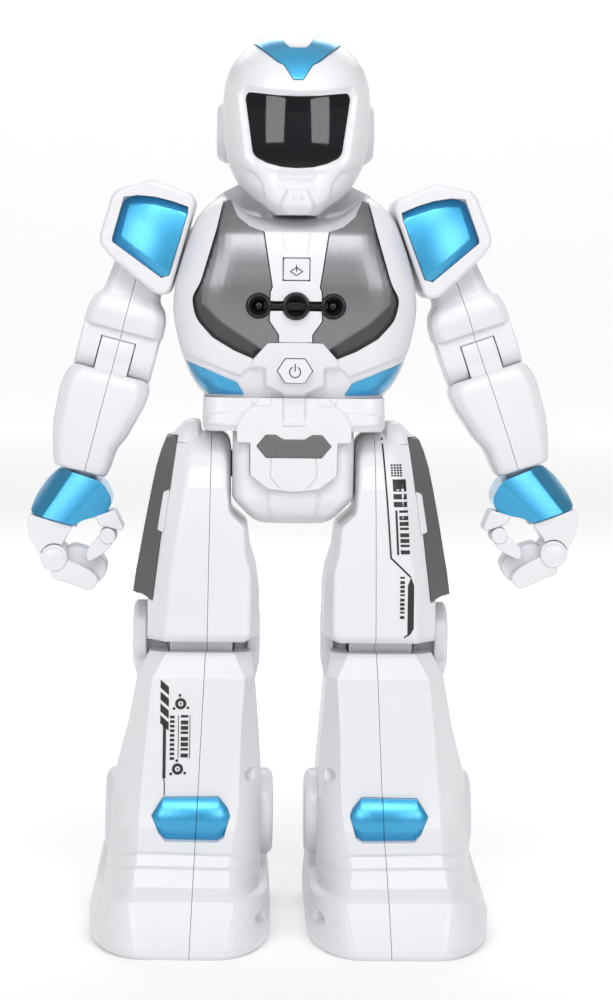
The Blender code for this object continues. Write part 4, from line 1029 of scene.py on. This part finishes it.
def cuff_front(x, z):
    """The cuff's face: a bowed facet between one on the thumb's side and a band on the outer side."""
    thumb_side = beyond(x, z, (-5.8, -73.7), (0.3, -85.2))
    outer_side = -beyond(x, z, (3.7, -72.6), (7.9, -84.6))
    middle = beyond(x, z, (-1.0, -73.2), (4.1, -84.9))
    high = 9.3 - 0.16 * (x - 1.5) - 0.07 * (z + 79) - 0.018 * middle ** 2
    high = high - 0.42 * np.maximum(0, thumb_side) - 0.9 * np.maximum(0, outer_side)
    return high - 0.35 * np.maximum(0, outer_side - 2.4) ** 2


def build_hand(side_name, place):
    hand = f"hand_{side_name}"
    cuff = relief(f"cuff_{side_name}", (-11, 13), (-87, -71), 0.4, cuff_front, -8.5, place)
    keep(cuff, prism("cuff_edge", rounded(CUFF, 1.6), -20, 20, place))
    round_edges(cuff, 0.6, 50)
    done(cuff, BLUE, hand, f"hand_cuff_{side_name}")
    palm = slab(f"palm_{side_name}", PALM, -7.5, 8.5, place, 0.9, 1.0, 40)
    core = box("core", (-2.0, 6.0), (-4, 2.5), (-87.2, -73), place)
    peg = turned("peg", "up", (0, 0), [(-76, 4), (-64, 4)], place)
    root = slab("root", THUMB_ROOT, -2.2, 7.7, place, 0.5)
    tab = turned("tab", "forward", THUMB_PIVOT, [(-2.2, 2.5), (3.2, 2.5)], place)
    add(palm, core, peg, root, tab)
    knuckle_room = turned("knuckle_room", "forward", KNUCKLE, [(-20, 4.2), (20, 4.2)], place)
    cut(palm, knuckle_room)
    done(palm, WHITE, hand, f"hand_palm_{side_name}")
    disc = turned(f"digits_{side_name}", "forward", KNUCKLE, [
        (-8.0, 3.9), (8.9, 3.9), (9.2, 3.6), (9.2, 3.1), (8.95, 2.8), (9.1, 2.3), (9.35, 1.4), (9.45, 0.3),
    ], place)
    near = slab("near", FINGER_NEAR, 2.8, 8.6, place, 0.6, 0.8)
    far = slab("far", FINGER_FAR, -8.0, 3.1, place, 0.6, 0.8)
    add(disc, near, far)
    done(disc, WHITE, f"finger_group_{side_name}", f"fingers_{side_name}")
    joint = [(3.6, 2.3), (8.2, 2.3), (8.4, 2.1)]
    pivot = turned(f"thumb_joint_{side_name}", "forward", THUMB_PIVOT, joint, place)
    tip = slab("tip", THUMB_TIP, 3.6, 8.0, place, 0.6, 0.8)
    add(pivot, tip)
    done(pivot, WHITE, f"thumb_group_{side_name}", f"thumb_{side_name}")


# ---------------------------------------------------------------- legs

THIGH = [
    octagon(83.8, 11.6, 13.4, 36.6, 42.0, 19.2, 12.0, -17.6, -12.0),
    octagon(85.8, 9.2, 11.9, 36.0, 45.0, 21.0, 13.0, -19.0, -13.0),
    octagon(98.0, 9.3, 11.9, 35.2, 45.0, 21.0, 13.0, -19.0, -13.0),
    octagon(104.0, 10.2, 11.9, 34.6, 44.2, 20.8, 13.0, -19.0, -13.0),
    octagon(109.4, 12.0, 13.4, 33.6, 43.2, 20.5, 13.0, -19.0, -13.0),
    octagon(117.0, 13.0, 13.8, 32.6, 41.9, 20.0, 13.0, -19.0, -13.0),
    octagon(121.0, 17.75, 18.15, 31.8, 41.2, 19.4, 12.5, -18.6, -12.5),
    octagon(128.0, 17.9, 19.0, 30.8, 39.9, 18.0, 11.5, -17.2, -11.5),
    octagon(134.0, 17.9, 19.4, 30.0, 38.7, 15.6, 10.0, -15.0, -10.0),
    octagon(138.5, 17.9, 20.0, 29.2, 37.4, 12.4, 8.0, -12.0, -8.0),
    octagon(141.6, 18.4, 21.0, 28.4, 36.2, 9.0, 6.0, -9.0, -6.0),
    octagon(143.4, 19.8, 22.0, 27.6, 34.6, 5.2, 3.5, -5.2, -3.5),
]
THIGH_DOME = [
    octagon(140.6, 25.4, 27.0, 32.6, 35.6, 9.5, 6.0, -9.5, -6.0, 1.5),
    octagon(144.2, 26.7, 27.6, 30.8, 33.6, 6.6, 4.6, -6.6, -4.6, 1.5),
    octagon(146.2, 26.9, 27.8, 29.6, 31.6, 4.2, 3.0, -4.2, -3.0, 1.2),
    octagon(147.0, 27.6, 28.0, 28.9, 30.0, 2.2, 1.6, -2.2, -1.6, 0.8),
]
THIGH_CLIP = [(35.4, 127.4), (37.2, 126.6), (38.8, 115.8), (36.9, 115.1)]
THIGH_PANEL = [(33.5, 142.3), (60.0, 142.3), (60.0, 98.0), (44.0, 97.6), (40.1, 95.8), (37.7, 115.4),
               (35.4, 127.8)]
SHIN = [
    (0.0, 6.4, 21.0, 40.0, 55.0, 50.0, 20.0, -41.5, -30.0, 1.0),
    (1.2, 5.4, 20.5, 40.5, 56.6, 51.0, 19.0, -42.0, -30.5, 1.0),
    (3.0, 5.1, 20.0, 41.0, 57.2, 51.2, 18.0, -42.0, -30.5, 1.0),
    (7.8, 5.2, 19.0, 42.0, 57.2, 49.2, 18.0, -41.5, -30.0, 1.0),
    (15.7, 5.9, 17.0, 43.6, 55.6, 45.6, 17.0, -38.5, -27.0, 0.95),
    (17.3, 6.3, 17.0, 43.8, 55.1, 44.1, 16.8, -37.5, -26.0, 0.95),
    (18.0, 8.3, 17.0, 44.0, 53.4, 43.4, 16.4, -37.0, -25.6, 0.9),
    (19.8, 8.5, 16.8, 44.2, 53.1, 41.6, 16.0, -35.5, -24.5, 0.85),
    (24.7, 8.2, 17.2, 43.4, 52.8, 38.4, 15.0, -32.5, -22.0, 0.85),
    (25.1, 8.3, 17.4, 43.2, 52.4, 37.0, 14.6, -32.0, -21.5, 0.85),
    (28.0, 8.1, 17.0, 43.0, 52.2, 35.0, 14.4, -30.0, -20.0, 0.85),
    (28.4, 8.2, 17.0, 43.0, 52.0, 33.5, 14.2, -29.5, -19.5, 0.85),
    (34.0, 8.0, 15.6, 43.0, 51.8, 28.0, 14.0, -26.0, -17.0, 0.6),
    (40.5, 8.2, 14.6, 42.6, 51.2, 24.6, 14.2, -23.6, -15.0, 0.3),
    (46.0, 8.3, 14.5, 42.2, 50.3, 23.0, 14.6, -22.0, -14.0, 0.0),
    (58.9, 9.2, 14.2, 41.2, 46.9, 21.3, 14.0, -20.0, -13.0, 0.0),
    (73.6, 10.4, 13.2, 39.8, 44.3, 20.0, 13.4, -19.0, -12.0, 0.0),
    (80.4, 11.4, 16.6, 35.8, 40.8, 15.4, 12.4, -14.4, -10.0, 0.0),
]
ANKLE_INSERT = [(39.4, 35.4), (36.2, 40.3), (20.4, 40.5), (17.9, 37.6), (17.1, 35.4), (18.8, 29.7),
                (20.7, 28.7), (35.3, 28.9), (37.2, 30.7)]
LEG_LEAN = 0.0425  # how far the shin's seam leans inward, per unit of height
ANKLE_HEIGHT = 31.2


def build_thigh(side_name, side):
    place, body = limb(side), f"thigh_{side_name}"
    whole = round_edges(skin("thigh", THIGH, place), 1.0, 11)
    dome = round_edges(skin("dome", THIGH_DOME, place), 1.0, 11)
    add(whole, dome)
    ends = [turned(f"knee_end_{i}", "x", (KNEE_DEPTH, KNEE_HEIGHT), [(a, 8.5), (b, 8.5)], place)
            for i, (a, b) in enumerate(((0, 12.8), (41.8, 60)))]
    cut(whole, *ends, box("ear_room", (41.4, 60), (-40, 40), (60, 97.2), place))
    cut(whole, turned("hip_pin_room", "x", (0, HIP_HEIGHT), [(15, 4.25), (23.2, 4.25)], place, 32))
    neck = box("neck", (16.9, 35.0), (-9, 9), (KNEE_HEIGHT - 2, 96), place)
    knuckle = turned("knuckle", "x", (0, KNEE_HEIGHT), [(16.9, 12.2), (35, 12.2)], place)
    add(whole, neck, knuckle)
    panel_room = prism("panel_room", grown(THIGH_PANEL, 0.2), -15.2, FAR, place)
    inside = skin("inside", [[(x + (1.4 if x < 20 else -1.4), f * 0.9, z) for x, f, z in points]
                             for points in THIGH], place)
    cut(panel_room, inside)
    cut(whole, panel_room)
    outer = halves(whole, "thigh_shell", "thigh", (24.0, -0.01, 100.0), place, body, side_name, 9.5)
    wider = [[(x + (0.7 if x > 30 else 0), f, z) for x, f, z in points] for points in THIGH]
    panel = skin(f"panel_{side_name}", wider, place)
    keep(panel, prism("panel_edge", THIGH_PANEL, -15, FAR, place))
    round_edges(panel, 0.4, 30, 2)
    done(panel, GREY, body, f"thigh_panel_{side_name}")
    wider = [[(x + (0.8 if x > 30 else 0), f + 0.1, z) for x, f, z in points] for points in THIGH]
    clip = skin(f"panel_clip_{side_name}", wider, place)
    keep(clip, prism("clip_edge", rounded(THIGH_CLIP, 0.4), 6, FAR, place))
    round_edges(clip, 0.2, 30, 2)
    done(clip, WHITE, body)
    if side_name == "left":
        printed("thigh_print", thigh_marks(), place, outer, body)


def build_shin(side_name, side):
    place, body = limb(side), f"shin_{side_name}"
    rings = np.array([leg_section(*row) for row in SHIN])
    droop = ease((rings[..., 2] - 10) / 15) * ease((46 - rings[..., 2]) / 16) * (rings[..., 1] > 0)
    rings[..., 2] -= 6.5 * droop * ((rings[..., 0] - 31) / 23) ** 2
    whole = round_edges(skin("shin", rings, place), 0.8, 16)
    for at, (low, high) in ((1, (45.0, 53.4)), (0, (4.6, 13.0))):
        rim = 1.6
        profile = [(low, 12.6), (high - rim, 12.6), (high - 0.4, 11.6), (high, 10.4), (high, 0.5)]
        if not at:
            profile = [(high, 12.6), (low + rim, 12.6), (low + 0.4, 11.6), (low, 10.4), (low, 0.5)]
        add(whole, turned(f"ankle_disc_{at}", "x", (-2, ANKLE_HEIGHT), profile, place, 64))
    for i, (low, high, radius) in enumerate(((41.8, 45.9, 9.6), (8.9, 12.4, 7.9))):
        profile = [(low, radius - 0.4), (low + 0.4, radius), (high - 1.2, radius),
                   (high - 0.5, radius - 0.5), (high, radius - 1.8)]
        if i:
            profile = [(low, radius - 1.4), (low + 0.4, radius - 0.5), (low + 1.0, radius), (high, radius)]
        fill = box(f"fill_{i}", ((36.0, 42.0) if not i else (12.2, 16.3)), (-9, 4), (76, 82.4), place)
        edge, into, lean = (low + 0.06, high - 0.31, 1.2) if i else (high - 0.06, low + 0.31, -1.4)
        outline = [(into, 82), (edge, 82), (edge, 76.5), (edge + lean, 71.5), (into, 71.5)]
        strap = prism(f"strap_{i}", outline, -7.5, 5.5, place)
        disc = turned(f"knee_disc_{i}", "x", (KNEE_DEPTH, KNEE_HEIGHT), profile, place, 64)
        add(whole, disc, fill, strap)
    cut(whole, box("knuckle_slot", (16.4, 35.5), (-12.6, 12.6), (70, 90), place),
        prism("ankle_seat", grown(ANKLE_INSERT, 0.05), 18.0, FAR, place))
    screws = ((11.2, 45.8, 17.0), (7.9, 8.8, 32.5))
    cut(whole, *[turned(f"screw_{z}", "forward", (x, z), [(deep, 0.5), (deep, 1.9), (FAR, 1.9)], place, 32)
                 for x, z, deep in screws])
    flat = section(8.8, 52.7, 47.3, -39.2, (17.4, 15.4), (9.4, 9.4))
    cut(whole, skin("sole_room", [[(x, f, z) for x, f in flat] for z in (-1.0, 3.3)], place),
        box("axle_room", (15.2, 44.6), (-16.0, -12.0), (-1, 8.6), place),
        *[box(f"wheel_room_{low}", (low, low + 6.6), (-21.5, -6.5), (-2, 14), place)
          for low in (17.2, 36.2)])
    outer = halves(whole, "shin_shell", "shin", (26.35, -LEG_LEAN, 40.0), place, body, side_name, 9.5)
    insert = prism(f"ankle_cover_{side_name}", ANKLE_INSERT, 18.4, FAR, place)
    barrel = [(16.0, 7.0), (20.5, 9.6), (36.0, 9.6), (40.5, 7.0)]
    keep(insert, turned("barrel", "x", (19.3, 33.6), barrel, place, 96))
    cut(insert, prism("insert_seam", [(27.13, 20), (27.27, 20), (26.0, 50), (25.86, 50)], 20, FAR, place))
    done(insert, BLUE, body, f"ankle_insert_{side_name}")
    if side_name == "right":
        printed("shin_print", shin_marks(), place, outer, body)


def printed(name, outlines, place, target, body):
    """Ink laid on the front of a piece, as thin patches that follow it."""
    mesh = target.data
    tree = BVHTree.FromPolygons([v.co for v in mesh.vertices], [p.vertices for p in mesh.polygons])
    toward = Vector(in_world((0, 1, 0), place)[0] - in_world((0, 0, 0), place)[0]).normalized()
    bm = bmesh.new()
    for outline in outlines:
        bm.faces.new([bm.verts.new((x, 0, z)) for x, z in outline])
    for axis in (0, 2):
        values = [v.co[axis] for v in bm.verts]
        for value in np.arange(min(values) + 0.77, max(values), 1.5):
            at, normal = [0, 0, 0], [0, 0, 0]
            at[axis], normal[axis] = value, 1
            everything = bm.verts[:] + bm.edges[:] + bm.faces[:]
            bmesh.ops.bisect_plane(bm, geom=everything, plane_co=at, plane_no=normal)
    for vert in bm.verts:
        start = Vector(in_world((vert.co.x, 70, vert.co.z), place)[0])
        hit = tree.ray_cast(start, -toward)[0]
        vert.co = (hit or start) + toward * 0.04 * MM
    raised = bmesh.ops.extrude_face_region(bm, geom=bm.faces[:])["geom"]
    raised = [item for item in raised if isinstance(item, bmesh.types.BMVert)]
    bmesh.ops.translate(bm, vec=toward * 0.06 * MM, verts=raised)
    obj = new_object(name, bm)
    return done(obj, INK, body)


def block(left, right, top, bottom):
    return [(left, bottom), (right, bottom), (right, top), (left, top)]


def ring(centre, inner, outer, steps=24):
    """A ring as two half outlines."""
    return [arc(centre, outer, start, end, steps) + arc(centre, inner, start, end, steps)[::-1]
            for start, end in ((0, 180), (180, 360))]


def thigh_marks():
    """A rule with a kink, a grid of dots, and bars of different lengths."""
    marks = [stroke([(25.7, 142.4), (28.2, 108.7), (33.9, 103.3)], 0.5)]
    marks.append([(33.1, 100.9), (34.0, 103.3), (34.9, 100.9), (34.9, 88.4), (33.5, 86.4), (33.1, 86.4)])
    marks.append(stroke([(34.2, 87.4), (32.2, 85.9)], 0.45))
    lean = lambda z: (137 - z) * 0.052
    for row in range(5):
        for column in range(4):
            x, z = 27.9 + column * 0.86, 135.2 - row * 0.72
            marks.append(block(x + lean(z), x + 0.62 + lean(z), z, z - 0.5))
    bars = [(28.2, 32.1, 131.0, 127.6), (28.2, 32.1, 126.9, 125.4), (28.2, 32.1, 124.7, 123.2)]
    bars += [(29.6, 32.2, 122.3 - i * 1.62, 122.3 - i * 1.62 - (1.15 if i % 3 else 0.7)) for i in range(8)]
    bars += [(28.5, 29.1, 122.3, 109.6)]
    for left, right, top, bottom in bars:
        marks.append([(x + lean(z), z) for x, z in block(left, right, top, bottom)])
    marks += [block(30.9, 32.2, 103.4 - i * 1.25, 103.4 - i * 1.25 - (0.8 if i % 4 else 0.5))
              for i in range(10)]
    return marks


def shin_marks():
    """Slanting stripes over a rule, with two cog-like rings and bars between them."""
    marks = []
    for i in range(4):
        top = 73.2 - i * 3.35
        marks.append([(37.3, top), (34.9, top - 2.1), (34.9, top - 4.4), (37.3, top - 2.3)])
    marks.append(block(35.6, 36.5, 60.6, 45.4))
    marks.append(stroke([(36.3, 46.0), (35.9, 44.2), (35.9, 40.8)], 0.3))
    for x, z in ((31.5, 66.4), (32.2, 48.0)):
        marks += ring((x, z), 0.75, 1.6)
        marks += [arc((x + 2.35 * math.sin(a), z + 2.35 * math.cos(a)), 0.42, 0, 340, 10)
                  for a in (0.1, 2.2, 4.2)]
        marks.append(arc((x, z), 0.3, 0, 340, 10))
    for i in range(8):
        top = 63.2 - i * 1.55
        marks.append(block(29.3, 31.4, top, top - (1.1 if i % 3 else 0.7)))
    marks += [block(28.7, 28.9, 63.2, 51.0), block(32.0, 32.2, 63.2, 51.0)]
    marks += [block(33.2, 34.5, 63.0 - i * 1.3, 63.0 - i * 1.3 - 0.75) for i in range(10)]
    return marks


def dress_cad_nodes():
    """Materials and soft edges for the CAD nodes that stay in sight or inside."""
    kept = [("battery_cover", WHITE, 0.3), ("neck_post", INNER, 0.2), ("main_board", BOARD, 0.1),
            ("eye_light_board", BOARD, 0.1), ("battery_pack", WRAP, 0.4)]
    for side_name, _ in SIDES:
        kept += [(f"foot_motor_{side_name}", INNER, 0.3), (f"sole_plate_{side_name}", GREY, 0.3),
                 (f"drive_wheels_{side_name}", TYRE, 0.3)]
    for name, material, width in kept:
        dress(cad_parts[name], material, width)


# ---------------------------------------------------------------- stage

CAMERA = {"x": -16.8, "forward": 772.0, "height": 190.0, "lens": 95.04, "roll": 0.68, "shift": -0.12}
AIM = {"x": 3.93, "height": 158.6}


def build_stage():
    """A round floor whose rim bends up into a low wall."""
    reach, bend, sides = 2400, 700, 72
    rim = [(reach + bend * math.sin(a), bend - bend * math.cos(a))
           for a in np.linspace(0.1, math.pi / 2, 16)]
    rim = [(reach, 0), *rim, (reach + bend, 1100)]
    angles = np.linspace(0, 2 * math.pi, sides, endpoint=False)
    points = [(0, 0, 0)] + [(r * math.cos(a), r * math.sin(a), z) for r, z in rim for a in angles]
    faces = [(0, 1 + i, 1 + (i + 1) % sides) for i in range(sides)]
    for low in range(1, 1 + sides * (len(rim) - 1), sides):
        for i, j in ((i, (i + 1) % sides) for i in range(sides)):
            faces.append((low + i, low + j, low + sides + j, low + sides + i))
    floor = solid("floor", points, faces, CENTRE)
    floor.data.shade_smooth()
    pale, tree, shader = new_material("pale_floor", (0.93, 0.93, 0.93), 0.7)
    tint(tree, shader, (0.93, 0.93, 0.93), (0.92, 0.92, 0.92), spread(tree, noise(tree, 90.0), 0.0, 1.0))
    shader.inputs["Emission Color"].default_value = (1, 1, 1, 1)
    where = node(tree, "ShaderNodeTexCoord")
    parts = node(tree, "ShaderNodeSeparateXYZ")
    tree.links.new(where.outputs["Object"], parts.inputs["Vector"])
    glow = spread(tree, parts.outputs["Y"], 0.0, 0.5, -0.2, 0.5)
    tree.links.new(glow, shader.inputs["Emission Strength"])
    floor.data.materials.append(pale)


def softbox(name, x, forward, height, size, power, aim=(0, 0, 130)):
    lamp = bpy.data.lights.new(name, "AREA")
    lamp.shape = "RECTANGLE"
    lamp.size, lamp.size_y = size[0] * MM, size[1] * MM
    lamp.energy = power
    obj = bpy.data.objects.new(name, lamp)
    bpy.context.scene.collection.objects.link(obj)
    at, target = (Vector(in_world(p, CENTRE)[0]) for p in ((x, forward, height), aim))
    obj.location = at
    obj.rotation_euler = (target - at).to_track_quat("-Z", "Y").to_euler()


def build_light():
    world = bpy.data.worlds.new("studio")
    bpy.context.scene.world = world
    world.use_nodes = True
    background = world.node_tree.nodes["Background"]
    background.inputs["Color"].default_value = (1.0, 1.0, 1.0, 1)
    background.inputs["Strength"].default_value = 0.27
    softbox("key_left", 380, 720, 376, (300, 356), 1.35)
    softbox("key_right", -345, 720, 376, (300, 356), 1.35)
    softbox("upper", 0, 600, 720, (560, 300), 3.0)
    softbox("top", 0, 100, 900, (900, 700), 0.9)
    softbox("back", 0, -700, 760, (800, 420), 3.0)


def build_camera():
    camera = bpy.data.objects.new("camera", bpy.data.cameras.new("camera"))
    bpy.context.scene.collection.objects.link(camera)
    camera.data.lens = CAMERA["lens"]
    camera.data.sensor_width = 36.0
    camera.data.shift_y = CAMERA["shift"]
    camera.data.clip_start = 0.01
    at = Vector(in_world((CAMERA["x"], CAMERA["forward"], CAMERA["height"]), CENTRE)[0])
    target = Vector(in_world((AIM["x"], 0, AIM["height"]), CENTRE)[0])
    look = (target - at).to_track_quat("-Z", "Y").to_matrix().to_4x4()
    roll = Matrix.Rotation(math.radians(CAMERA["roll"]), 4, "Z")
    camera.matrix_world = Matrix.Translation(at) @ look @ roll
    bpy.context.scene.camera = camera
    bpy.context.scene.view_settings.view_transform = "Standard"


def main():
    build_head()
    build_torso()
    build_waist()
    for side_name, side in SIDES:
        build_arm(side_name, side)
        build_thigh(side_name, side)
        build_shin(side_name, side)
    dress_cad_nodes()
    build_stage()
    build_light()
    build_camera()


main()
